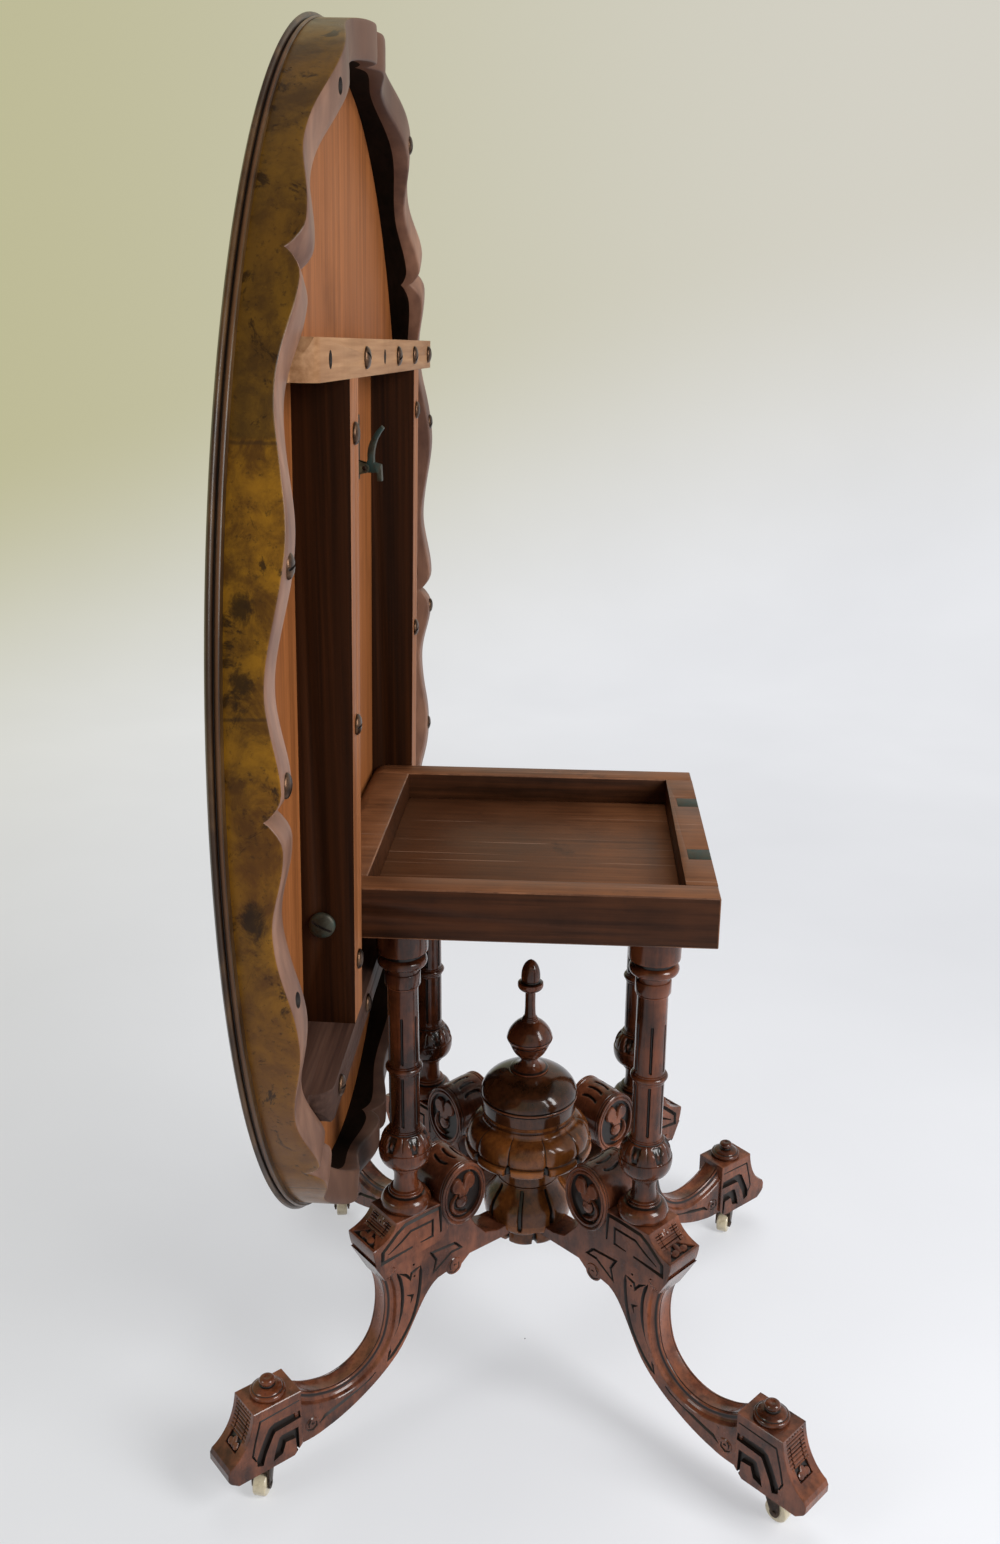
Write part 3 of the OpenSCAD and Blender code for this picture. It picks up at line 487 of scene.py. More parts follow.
def mesh_of(name, points, faces, finishes, finish_of=None, masks=None, at=None):
    """A mesh from points in millimetres; masks are values for each point, by name."""
    points = np.asarray(points, float)
    if at is not None:
        m = np.array(at)
        points = points @ m[:3, :3].T + m[:3, 3]
    mesh = bpy.data.meshes.new(name)
    mesh.from_pydata((points * MM).tolist(), [], [tuple(int(i) for i in f) for f in faces])
    finished(mesh, finishes)
    if finish_of is not None:
        mesh.polygons.foreach_set("material_index", finish_of)
    for mask_name in MASKS:
        values = (masks or {}).get(mask_name, np.zeros(len(points)))
        layer = mesh.attributes.new(mask_name, "FLOAT", "POINT")
        layer.data.foreach_set("value", np.asarray(values, float).ravel())
    return mesh


def loop_faces(rings, across, close_ring=True, close_across=True, flip=False):
    """Quads between rings of points, each ring with the same number of points across."""
    faces = []
    for i in range(rings if close_ring else rings - 1):
        k = (i + 1) % rings
        for j in range(across if close_across else across - 1):
            m = (j + 1) % across
            quad = (i * across + j, i * across + m, k * across + m, k * across + j)
            faces.append(quad[::-1] if flip else quad)
    return faces


def gathered(parts):
    """Points and faces of several forms, numbered as one."""
    points, faces, count = [], [], 0
    for part_points, part_faces in parts:
        points.append(part_points)
        faces += [tuple(i + count for i in f) for f in part_faces]
        count += len(part_points)
    return joined(*points), faces


def joined(*parts):
    """Lists of points or numbers, one after the other."""
    return np.concatenate(parts)


def arc(x, y, r, start, end, steps, high=None):
    """Points of an arc between angles in degrees; high is its upright radius, if that differs."""
    angles = np.radians(np.linspace(start, end, steps + 1))
    return np.stack([x + r * np.cos(angles), y + (high or r) * np.sin(angles)], 1)


def curve(p, steps):
    """Points of a cubic curve with four control points."""
    p = np.asarray(p, float)
    t = np.linspace(0, 1, steps + 1)[:, None]
    u = 1 - t
    return u**3 * p[0] + 3 * u**2 * t * p[1] + 3 * u * t**2 * p[2] + t**3 * p[3]


def even_points(line, gap):
    """Points along a line, no further apart than gap, keeping the line's own points."""
    line = np.asarray(line, float)
    out = [line[0]]
    for a, b in zip(line[:-1], line[1:]):
        parts = max(1, int(math.ceil(np.linalg.norm(b - a) / gap)))
        out += [a + (b - a) * k / parts for k in range(1, parts + 1)]
    return np.array(out)


def ripple(points, scale):
    """A smooth, repeatable wobble between about -1 and 1, from places in millimetres."""
    x, y, z = (points / scale).T
    return (
        np.sin(x * 2.1 + 1.3 * np.sin(y * 1.7))
        + np.sin(y * 2.3 + 1.1 * np.sin(z * 1.9))
        + np.sin(z * 2.7 + 1.2 * np.sin(x * 1.3))
    ) / 3


def turn(profile, sides, shape=None, inward=False):
    """Points, faces and masks of a turned form. Its profile runs upward; shape may carve it.

    sides is a number or a list of angles in degrees; shape takes and gives r and z over the
    grid of profile points and angles, and gives two masks.
    """
    profile = np.asarray(profile, float)
    if np.ndim(sides) == 0:
        sides = np.arange(sides) * 360 / sides
    angles = np.radians(np.asarray(sides, float))
    r = np.repeat(profile[:, :1], len(angles), 1)
    z = np.repeat(profile[:, 1:], len(angles), 1)
    t = np.repeat(angles[None], len(profile), 0)
    hollow, rubbed = np.zeros_like(r), np.zeros_like(r)
    if shape:
        r, z, hollow, rubbed = shape(t, r, z)
    points = np.stack([r * np.cos(t), r * np.sin(t), z], -1).reshape(-1, 3)
    n = len(angles)
    faces = loop_faces(len(profile), n, False, True, flip=inward)
    if not inward:
        faces.append(tuple(range(n))[::-1])
        faces.append(tuple((len(profile) - 1) * n + j for j in range(n)))
    return points, faces, {"hollow": hollow.ravel(), "rubbed": rubbed.ravel()}


def turned_piece(
    name, profile, sides, finish, stands_for, at, shape, sharp, body="base"
):
    points, faces, masks = turn(profile, sides, shape)
    mesh = mesh_of(name, points, faces, [finish], None, masks, at)
    place_piece(mesh, name, body, stands_for, sharp)


def wrapped(angle, period):
    """Angle from the middle of the nearest of equal sectors, in the same unit."""
    return (angle + period / 2) % period - period / 2


def held(x):
    """Kept between 0 and 1."""
    return np.clip(x, 0, 1)


def fades(x, low, high):
    """0 below low, 1 above high and smooth between."""
    s = held((x - low) / (high - low))
    return s * s * (3 - 2 * s)


def ridge(x, at, wide):
    """1 at a place, falling off softly to both sides of it."""
    return np.exp(-(((x - at) / wide) ** 2))


def within(x, low, high):
    return (x > low) & (x < high)


def banded(z, base, value, *bands):
    """A value in bands of height, each from low to high, and base elsewhere."""
    for low, high in bands:
        base = np.where(within(z, low, high), value, base)
    return base


def worn(hollow, rubbed):
    """A shape that only marks bands; its first argument gives a value of painted shade, then its
    bands, and its second a value of wear and painted highlight, then its bands.
    """

    def shape(t, r, z):
        return r, z, banded(z, 0, *hollow), banded(z, 0, *rubbed)

    return shape


def dressed_copy(node, finishes, body, bevel, finish_of=None):
    """A copy of a CAD node with softened edges, which stands for it."""
    copy = nodes[node].copy()
    copy.data = nodes[node].data.copy()
    copy.name = node + "_dressed"
    finished(copy.data, finishes)
    copy.parent = None
    copy.matrix_world = Matrix.Identity(4)
    bpy.context.scene.collection.objects.link(copy)
    work = bmesh.new()
    work.from_mesh(copy.data)
    bmesh.ops.remove_doubles(work, verts=work.verts, dist=0.00002)
    flat = math.radians(0.5)
    bmesh.ops.dissolve_limit(work, angle_limit=flat, verts=work.verts, edges=work.edges)
    for face in work.faces:
        face.smooth = True
        face.material_index = 0
    work.to_mesh(copy.data)
    work.free()
    softened = copy.modifiers.new("softened", "BEVEL")
    softened.width = bevel * MM
    softened.segments = 2
    softened.limit_method = "ANGLE"
    softened.angle_limit = math.radians(40)
    softened.harden_normals = False
    settle(copy)
    if finish_of:
        for face in copy.data.polygons:
            face.material_index = finish_of(face)
    for mask_name in MASKS:
        if mask_name not in copy.data.attributes:
            copy.data.attributes.new(mask_name, "FLOAT", "POINT")
    smoothed(copy.data, 32)
    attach(copy, body)
    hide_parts(node)
    return copy


def settle(piece):
    """Applies a piece's modifiers to its mesh."""
    bpy.context.view_layer.update()
    graph = bpy.context.evaluated_depsgraph_get()
    done = piece.evaluated_get(graph)
    mesh = bpy.data.meshes.new_from_object(done, preserve_all_data_layers=True, depsgraph=graph)
    piece.modifiers.clear()
    piece.data = mesh


def carve(piece, cutters):
    """Cuts a mesh object out of a piece; the cut faces keep the cutter's finish."""
    cut = piece.modifiers.new("carved", "BOOLEAN")
    cut.operation = "DIFFERENCE"
    cut.solver = "EXACT"
    cut.object = cutters
    cut.use_self = True
    settle(piece)
    bpy.data.objects.remove(cutters)


# ---------------------------------------------------------------- the top


def oval_point(t, a, b, off):
    """Points of an oval set off along its normals; t in degrees from the top end."""
    t = np.radians(t)
    nx, ny = np.sin(t) * b, np.cos(t) * a
    length = np.hypot(nx, ny)
    return a * np.sin(t) + off * nx / length, OVAL_SHIFT + b * np.cos(t) + off * ny / length


def even_angle(share):
    """Angle on the oval at a share of its length, with the notches set out as listed."""
    bay = share * BAYS % BAYS
    k = np.floor(bay).astype(int)
    nudge = NOTCH_NUDGE[k % BAYS] * (1 - bay + k) + NOTCH_NUDGE[(k + 1) % BAYS] * (bay - k)
    spread = 1.8 + 90 / math.pi * (FRIEZE_B - FRIEZE_A) / (FRIEZE_B + FRIEZE_A)
    drop = 1.6 * np.sin(np.radians(360 * share)) + spread * np.sin(np.radians(720 * share))
    return 360 * share + nudge + drop


def swell(s, low, high):
    return low + (high - low) * (1 - np.cos(np.pi * s)) / 2


SMALL_CREST, TROUGH = 0.055, 0.24  # shares of a bay from its notch


def frieze_depth(s):
    """Depth of the frieze at a share s of a bay, where 0 and 1 are its notches."""
    s = np.minimum(s, 1 - s)
    small = NOTCH + (SMALL_LOBE - NOTCH) * np.sin(np.pi / 2 * held(s / SMALL_CREST)) ** 0.8
    slope = swell((s - SMALL_CREST) / (TROUGH - SMALL_CREST), SMALL_LOBE, HOLLOW)
    long_lobe = swell((s - TROUGH) / (0.5 - TROUGH), HOLLOW, LONG_LOBE)
    return np.where(s < SMALL_CREST, small, np.where(s < TROUGH, slope, long_lobe))


def swept(t, a, b, section):
    """Points of a section of (off, height) swept round an oval; a height may vary along it."""
    rings = []
    for off, height in section:
        x, y = oval_point(t, a, b, off)
        rings.append(np.stack([x, y, height + 0 * x], 1))
    return np.stack(rings, 1).reshape(-1, 3)


def make_frieze():
    """The frieze, swept from a section of (off, share of its depth, rise) with rounded edges."""
    shares = np.unique(joined(np.linspace(0, 1, 73), [0.006, 0.994]))[:-1]
    bay = joined(*[k + shares for k in range(BAYS)])
    depth = frieze_depth(bay % 1)
    t = even_angle(bay / BAYS)
    rounded = ((0.0, -2.2), (-0.5, -0.7), (-2.0, 0.0))
    section = [(0.0, share, 0.0) for share in (0.0, 0.25, 0.5, 0.75)]
    section += [(off, 1.0, rise) for off, rise in rounded]
    section += [(off, 1.0, 0.35) for off in (-8, -17, -26)]
    section += [(-FRIEZE_T - off, 1.0, rise) for off, rise in rounded[::-1]]
    section += [(-FRIEZE_T, share, 0.0) for share in (0.6, 0.0)]
    heights = [(off, depth * share + rise) for off, share, rise in section]
    points = swept(t, FRIEZE_A, FRIEZE_B, heights)
    edge = [share == 1.0 for _, share, _ in section]
    points[:, 2] += ripple(points, 23) * np.tile(edge, len(t)) * 0.35
    faces = loop_faces(len(t), len(section))
    # The finish of each face across the section: veneer outside, the edge, then the inside in
    # near-black painted shade
    finish_of = ([0] * 5 + [1] * 8 + [2] * 2) * len(t)
    finishes = [walnut, frieze_edge, frieze_inside_shade, ground]
    mesh = mesh_of("frieze", points, faces, finishes, finish_of, None, TOP_FRAME)
    return place_piece(mesh, "serpentine_frieze", "top", ["frieze"], 50)


def make_rim():
    """The rim's thumb moulding, with a quirk and a bead, swept round the top."""
    t = np.linspace(0, 360, 481)[:-1]
    edge = joined(
        [(-RIM_W, -0.1), (-RIM_W, -BOARD_T), (-15.5, -BOARD_T)],
        [(-15, -BOARD_T + 0.7), (-14, -BOARD_T + 0.8)],
        curve([(-13, -BOARD_T + 0.3), (-9, -BOARD_T + 0.5), (-2.5, -BOARD_T + 2.2), (0, -8.4)], 9),
        curve([(0, -8.2), (0, -6.8), (-1.2, -5.3), (-4.6, -4.9)], 6),
        [(-5.3, -4.8), (-5.4, -4.3)],
        arc(-5.4, -1.9, 2.35, -75, 60, 7),
        [(-4.9, -0.1), (-6, 0.0)],
    )
    off, height = edge.T
    # Painted shade in the quirk and the groove by the board; wear and painted highlight on the
    # bead.
    hollow = (within(height, -5.6, -4.2) & (off < -3)) | (np.abs(off + 14.6) < 1)
    rubbed = 0.9 * (within(height, -3.6, -0.4) & (off > -4.6))
    points = swept(t, TOP_HALF_WIDTH, TOP_HALF_LENGTH, edge)
    masks = {"hollow": np.tile(hollow, len(t)), "rubbed": np.tile(rubbed, len(t))}
    faces = loop_faces(len(t), len(edge))
    mesh = mesh_of("rim", points, faces, [rim_finish], None, masks, TOP_FRAME)
    place_piece(mesh, "rim_moulding_swept", "top", ["rim_moulding"], 40)


frieze = make_frieze()
make_rim()

board = nodes["top_board"]
finished(board.data, [underside, show_face])
for face in board.data.polygons:
    face.material_index = 1 if face.normal.x < -0.5 else 0


def bearer_finish(face):
    """The bearers' outer faces get a pale finish, and their sides a dark one."""
    return 1 if face.normal.x > 0.7 else 0


bearer_finishes = [bearer_side, bearer_edge]
for side in ("near", "far"):
    dressed_copy("bearer_" + side, bearer_finishes, "top", 1.2, bearer_finish)
upper_batten = dressed_copy("batten_upper", [batten_tan, ground], "top", 1.4)
# The lower batten gets the batten wood in painted shade.
dressed_copy("batten_lower", [batten_painted_shade], "top", 1.4)


# ---------------------------------------------------------------- columns


FLUTES = ((107, 169), (185, 242))
SHAFT_R, FLUTE_HALF = 17, 1.8


def shaft(low, high, top_r):
    """Part of the shaft, with close points at both ends of its flutes."""
    return joined(
        [(SHAFT_R, low - 0.6)],
        [(SHAFT_R, low + k * 0.6) for k in range(5)],
        even_points([(SHAFT_R, low + 3), (top_r, high - 3)], 14),
        [(top_r, high - k * 0.6) for k in range(4, -1, -1)],
    )


def column_profile():
    top = COLUMN_H
    return joined(
        [(24, 0.2)],
        curve([(26, 0.2), (30.0, 1), (30.0, 13), (22.5, 16.4)], 14),
        [(20.2, 16.8), (19.2, 17.3), (19.2, 18.1)],
        arc(18.7, 19.6, 1.3, -80, 80, 5),
        [(18.2, 21.2)],
        arc(17.2, 22.4, 1.1, -80, 80, 5),
        curve([(15.0, 24.2), (12.7, 30), (12.7, 42), (14.8, 48.4)], 12),
        [(17.0, 49.4), (17.6, 50.2), (17.6, 52.4), (17.0, 53.4)],
        curve([(18.4, 54), (28.6, 56.5), (30.4, 68), (30.0, 76.8)], 14),
        [(29.8, 77.3), (28.9, 77.6)],
        even_points(curve([(28.9, 77.8), (29.0, 86), (24.5, 95), (19.4, 97.6)], 16), 1),
        [(19.4, 98.4), (19.4, 99.4), (18.3, 99.9), (18.3, 101.3), (17.3, 101.8), (17.1, 103.2)],
        shaft(*FLUTES[0], 17),
        [(17, 170.4), (17.4, 171.4), (18.3, 172), (18.3, 173.4)],
        arc(17.6, 176.8, 3.0, -80, 80, 9),
        [(18.3, 180.2), (18.3, 181.2), (17.1, 182)],
        shaft(*FLUTES[1], 16.8),
        [(16.7, 243.5), (16.6, top - 93), (17.4, top - 92.4)],
        [(17.8, top - 91.8), (17.8, top - 90.9)],
        [(17.0, top - 90.5), (17.0, top - 89.9), (19.0, top - 89.4), (19.4, top - 88.6)],
        [(19.4, top - 76), (19.0, top - 75), (17.6, top - 74.4), (17.4, top - 72.4)],
        curve([(17.6, top - 71), (17.8, top - 69), (18.6, top - 68), (20.5, top - 67.4)], 4),
        curve([(22, top - 67), (28.4, top - 66.4), (28.4, top - 56.4), (23, top - 55.8)], 12),
        [(21.8, top - 55.2), (21.6, top - 52), (22.2, top - 50.6)],
        [(26.6, top - 50.2), (27.6, top - 49.4), (27.9, top - 47.6)],
        curve([(27.9, top - 46), (28.4, top - 30), (27.4, top - 14), (28.0, top - 0.4)], 6),
    )


def column_shape(t, r, z):
    """Flutes in the shaft, and leaves on the upper half of the ball, with painted shade in the
    flutes, round the leaves and in three grooves, and wear and painted highlight on two rings.
    """
    hollow = np.zeros_like(r)
    off = wrapped(t + math.pi / 2, math.pi / 3)
    for low, high in FLUTES:
        end = np.minimum(z - low, high - z)
        rho = np.hypot(np.abs(off) * SHAFT_R / FLUTE_HALF, held(1 - end / FLUTE_HALF))
        depth = np.where((end > -0.01) & (rho < 1), 2.4 * np.sqrt(held(1 - rho**2)), 0)
        r = r - depth
        hollow = np.maximum(hollow, held(depth / 1.9))
    carved = within(z, 77.7, 97.7)
    degrees = np.abs(np.degrees(off))
    wide = 24 - 9 * (z - 78) / 20
    sunk = np.where(carved, fades(degrees, wide - 1.5, wide + 1.8), 0)
    sunk = sunk * fades(z, 77.8, 79.5) * (1 - fades(z, 94.5, 97))
    curl = ridge(degrees, 30, 4.2) * ridge(z, 87, 3.6) * carved
    vein = ridge(degrees, 0, 1.6) * carved * fades(z, 79, 84)
    r = r - 2.5 * sunk + 2.3 * curl - 0.7 * vein
    hollow = np.maximum(hollow, held(sunk - curl * 1.2) * 0.95)
    hollow = np.maximum(hollow, vein * 0.5)
    hollow = banded(z, hollow, 0.9, (16.7, 18.3), (COLUMN_H - 55.4, COLUMN_H - 50.4), (97.5, 98.6))
    return r, z, hollow, banded(z, 0, 0.5, (274, 276.4), (COLUMN_H - 50.3, COLUMN_H - 48))


# Degrees round a sixth of the column, set close together in its flute
SIXTH = (-6.8, -6.1, -5.3, -4, -2, 0, 2, 4, 5.3, 6.1, 6.8, 9.5, 12.5, 15.5, 18.5, 21.5, 24.5)
SIXTH += (27.2, 30, 32.8, 35.5, 38.5, 41.5, 44.5, 47.5, 50.5)


def corner_spot(corner, reach, height):
    """A place on the line of one leg, at a reach from the table's middle."""
    x_side, y_side = CORNERS[corner]
    return Matrix.Translation(
        (x_side * reach * math.cos(LEG_ANGLE), y_side * reach * math.sin(LEG_ANGLE), height)
    )


for corner in CORNERS:
    turned_piece(
        "turned_column_" + corner,
        column_profile(),
        [60 * k + a - 90 for k in range(6) for a in SIXTH],
        turned,
        ["column_" + corner],
        corner_spot(corner, COLUMN_AT, LEG_TOP),
        column_shape,
        38,
    )


# ---------------------------------------------------------------- centre ornament


def vase_shape(t, r, z):
    """Eight bell-shaped lobes with a slot in each, drilled gaps between, and petals under them;
    painted shade in the slots, the gaps and the groove under the lobes, and wear and painted
    highlight on the lobes' lower edge.
    """
    off = np.abs(np.degrees(wrapped(t - math.radians(-98), math.pi / 4)))
    wide = np.interp(z, (199, 212, 246), (2.7, 3.3, 2.1))
    end = np.minimum(z - 198, 246 - z)
    rho = np.hypot(np.radians(off) * r / wide, held(1 - end / wide))
    slot = np.where((end > 0) & (rho < 1), held((1 - rho) * 4) ** 0.6, 0)
    gap_across = np.radians(22.5 - off) * 50
    gap_wide = np.interp(z, (175, 187, 192.5, 197), (3.4, 3.0, 2.0, 0.4))
    gap = np.where(z < 197, held((1 - gap_across / gap_wide) * 3), 0)
    roundness = np.where(z < 236, (off / 22.5) ** 2.5 * np.interp(z, (193, 236), (0.9, 0.1)), 0)
    petal = np.where(z < 192.6, 1.2 * (1 - (off / 20) ** 2), 0)
    r = r - 3.4 * slot - 6.5 * gap - roundness + petal
    z = banded(z, z, z + 2.4 * (off / 22.5) ** 2, (192.5, 197))
    hollow = banded(z, held(slot + gap), 0.8, (190.8, 192.9))
    return r, z, hollow, banded(z, 0, 0.5 * (1 - hollow), (196, 206))


vase_profile = joined(
    [(30, 177), (36, 176.6), (39, 175.3)],
    even_points(curve([(41, 175), (47.5, 175.6), (45.6, 184), (44.6, 190.6)], 8), 1.6),
    [(43.6, 191.4), (43.6, 192.2)],
    even_points(curve([(49, 192.8), (51.5, 193.6), (53, 199), (52.4, 206)], 8), 1.4),
    even_points(curve([(53.4, 206.4), (56, 230), (42, 232), (37, 248)], 16), 1.6),
    [(36.8, 248.4), (37.4, 248.8), (37.6, 250), (36.4, 250.8), (36, 252), (36, 286.8)],
)
turned_piece("carved_vase", vase_profile, 288, skirt_wood, ["hub_vase"], None, vase_shape, 34)


def skirt_shape(t, r, z):
    """Ten lobes: a notch in the lip between each two, and a fine line from it up the belly; painted
    shade in the notches, the lines and the groove over the lip, and wear and painted highlight on
    the lip.
    """
    off = 18 - np.abs(np.degrees(wrapped(t - math.radians(-89), math.pi / 5)))
    across = np.radians(off) * 78
    notch_wide = np.interp(z, (287, 297, 301, 304), (5.2, 4.4, 2.4, 1.0))
    notch = np.where(z < 303, held((1 - across / notch_wide) * 3), 0)
    line = ridge(across, 0, 0.9) * (z > 300) * (1 - fades(z, 326, 334))
    swag = (1 - held(off / 18)) ** 3 * 1.8 * (1 - fades(z, 312, 326))
    r = r - 5.2 * notch - line - swag
    hollow = held(notch + line * 0.9)
    hollow = banded(z, hollow, np.maximum(hollow, 0.6), (299.4, 300.8))
    return r, z, hollow, banded(z, 0, 0.6 * (1 - hollow), (292, 299))


skirt_profile = joined(
    [(40, 287.1), (70, 287.3)],
    curve([(73, 287.6), (78.6, 289), (79, 296), (76.4, 299)], 10),
    [(74.4, 299.6), (73.6, 300.4)],
    even_points(curve([(74.2, 301.2), (76.8, 313), (69, 324.5), (56, 327.6)], 18), 1.2),
    curve([(56, 327.8), (53.6, 330), (54.8, 336), (56.6, 342.5)], 8),
    [(55.4, 343.4)],
)
turned_piece("carved_skirt", skirt_profile, 360, skirt_wood, ["lobed_skirt"], None, skirt_shape, 34)

dome_profile = joined(
    [(53.2, 330.1)],
    curve([(53.6, 331), (56.0, 335), (56.2, 345), (56.4, 356)], 10),
    [(56.2, 357.4), (55.4, 358), (55.4, 358.8)],
    arc(56.6, 360.6, 1.7, -75, 75, 7),
    [(56.0, 362.6), (56.0, 363.3)],
    arc(0, 362.4, 58.0, 3.4, 64.5, 21, 33.4),
    [(23.6, 392.9)],
)

turned_piece(
    "turned_dome",
    dome_profile,
    160,
    dome_wood,
    ["dome"],
    None,
    worn((0.7, (357, 359), (362, 363.4)), (0.9, (359.2, 361.9))),
    30,
)

finial_profile = joined(
    [(22.2, 0.1), (23.0, 0.6), (23.0, 1.8), (22.0, 2.6)],
    curve([(20.6, 3.0), (12.4, 6.4), (9.8, 9), (9.8, 14)], 9),
    [(10.6, 14.6), (11.4, 15.2), (11.4, 16.2), (10.6, 16.8)],
    curve([(10.8, 17.2), (16, 18.6), (21, 25.6), (23.8, 34.4)], 10),
    [(23.0, 34.9), (23.0, 35.5)],
    curve([(24.4, 36), (26.2, 38), (27.2, 40), (27.3, 41.8)], 6),
    [(26.5, 42.3), (26.5, 42.9)],
    curve([(27.0, 43.4), (25.6, 53), (16.6, 62), (10.4, 64.6)], 12),
    [(10.0, 65.2), (10.0, 66.0), (9.0, 66.6), (8.9, 67.8), (7.9, 68.4), (7.9, 69.6)],
    curve([(7.0, 70.4), (6.0, 76), (6.0, 90), (6.1, 102.4)], 8),
    [(7.6, 103.2), (7.8, 104.2), (9.8, 104.9)],
    curve([(12.4, 105.2), (15.4, 107.4), (15.5, 110.5), (14.9, 113.6)], 8),
    [(13.8, 114.2), (12.6, 114.6), (11.2, 115.4), (10.8, 116.6)],
    curve([(11.2, 117.6), (11.9, 130), (8.6, 139.8), (0.6, 142.9)], 16),
)

turned_piece(
    "turned_finial",
    finial_profile,
    120,
    turned,
    ["finial"],
    Matrix.Translation((0, 0, FINIAL_AT)),
    worn(
        (0.8, (34.8, 35.7), (42.2, 43.1), (16.7, 17.4), (114.5, 117.2), (2.5, 3.2)),
        (0.6, (40, 42), (109, 114), (-1, 2.4)),
    ),
    34,
)

boss_profile = joined(
    [(17.4, 0.1)],
    curve([(18.6, 0.1), (20.2, 1.4), (20.2, 5.6), (17.6, 6.4)], 9),
    [(16.6, 6.5), (16.4, 7.1)],
    curve([(16.2, 7.4), (14, 9.7), (11, 10.2), (8.4, 10.7)], 8),
    [(7.4, 11.1), (6.9, 12.3)],
    curve([(7.0, 12.6), (10.0, 13.6), (9.4, 19.4), (5.4, 19.9)], 10),
    curve([(3.6, 20.0), (2.6, 19.8), (2.2, 19.2), (0.4, 19.0)], 4),
)
for corner in CORNERS:
    turned_piece(
        "turned_boss_" + corner,
        boss_profile,
        72,
        turned,
        ["foot_boss_" + corner],
        corner_spot(corner, BOSS_AT, BOSS_FOOT),
        worn((0.8, (6.4, 7.3), (10.6, 12.7)), (0.35, (14, 99), (2, 6.2))),
        34,
    )


# ---------------------------------------------------------------- carved legs
# A leg is carved in its own frame: s outward from the table's middle, t across and z up.


def unit(v):
    return v / np.maximum(np.linalg.norm(v, axis=-1, keepdims=True), 1e-9)


def left_of(line, closed=False):
    """Directions to the left of a line, lengthened at corners so that an offset stays even."""
    line = np.asarray(line, float)
    if closed:
        ahead, back = np.roll(line, -1, 0) - line, line - np.roll(line, 1, 0)
    else:
        step = np.diff(line, axis=0)
        ahead, back = joined(step, step[-1:]), joined(step[:1], step)
    a = unit(ahead)[:, ::-1] * (-1, 1)
    b = unit(back)[:, ::-1] * (-1, 1)
    both = unit(a + b)
    return both / np.maximum((both * a).sum(1, keepdims=True), 0.5)


def anticlockwise(outline):
    line = np.asarray(outline, float)
    return line[::-1] if np.cross(line, np.roll(line, -1, 0)).sum() < 0 else line


def across_leg(places, t):
    """Places (s, z) as points of a leg; t is one number, or one for each place."""
    return np.stack([places[..., 0], t + 0 * places[..., 0], places[..., 1]], -1)


def beside(line, d):
    return np.asarray(line, float) + d * left_of(line)


def carved_mesh(name, points, faces, kinds=None, masks=None):
    """A closed mesh of leg mahogany with its carved ground in painted shade, its faces turned
    outward.
    """
    mesh = mesh_of(name, points, faces, [mahogany, ground], kinds, masks)
    work = bmesh.new()
    work.from_mesh(mesh)
    bmesh.ops.recalc_face_normals(work, faces=work.faces)
    work.to_mesh(mesh)
    work.free()
    return mesh


def slab(name, outline, half, across=None, strips=(), bevel=0.8, gap=4.0):
    """A board cut to an outline in s and z, with half its thickness to each side.

    strips are (first, last, relief): along the edge from first to last, relief(u, t) gives how
    deep the carving is, and how dark its painted shade is, at a distance u from first.
    """
    line = anticlockwise(outline)
    line = even_points(joined(line, line[:1]), gap)[:-1]
    outward = -left_of(line, True)
    if across is None:
        across = [-half + bevel, half - bevel]
    across = joined([-half], across, [half])
    deep = np.zeros((len(line), len(across)))
    dark = np.zeros_like(deep)
    for first, last, relief in strips:
        a, b = (int(np.argmin(np.linalg.norm(line - end, axis=1))) for end in (first, last))
        ways = []
        for way in (1, -1):
            order = [(a + way * k) % len(line) for k in range((way * (b - a)) % len(line) + 1)]
            walk = np.cumsum(np.linalg.norm(np.diff(line[order], axis=0), axis=1))
            ways.append((joined([0], walk), order))
        walk, order = min(ways, key=lambda one: one[0][-1])
        deep[order], dark[order] = relief(walk[:, None], across[None])
    deep[:, 0] += bevel
    deep[:, -1] += bevel
    places = line[:, None] - outward[:, None] * deep[..., None]
    k = len(across)
    faces = loop_faces(len(line), k, True, False)
    faces.append(tuple(i * k for i in range(len(line))))
    faces.append(tuple(i * k + k - 1 for i in range(len(line)))[::-1])
    points = across_leg(places, across).reshape(-1, 3)
    return carved_mesh(name, points, faces, None, {"hollow": dark})


OVER = 0.8  # how far a cutter stands out of the face it cuts


def groove(line, face_at, wide, deep, ends=0.3):
    """V-shaped cutter along (s, z) places on the face at t = face_at; ends is its share there."""
    line = np.asarray(line, float)
    side = 1 if face_at > 0 else -1
    grow = np.ones(len(line))
    if np.linalg.norm(line[0] - line[-1]) > 0.01:
        grow[0] = grow[-1] = ends
    rim = left_of(line) * (wide * grow * (deep + OVER) / deep)[:, None]
    top, low = face_at + side * OVER, face_at - side * deep * (0.4 + 0.6 * grow)
    rows = [across_leg(line + rim, top), across_leg(line - rim, top), across_leg(line, low)]
    faces = loop_faces(len(line), 3, False, True)
    faces += [(0, 1, 2), tuple(3 * (len(line) - 1) + k for k in (2, 1, 0))]
    return np.stack(rows, 1).reshape(-1, 3), faces


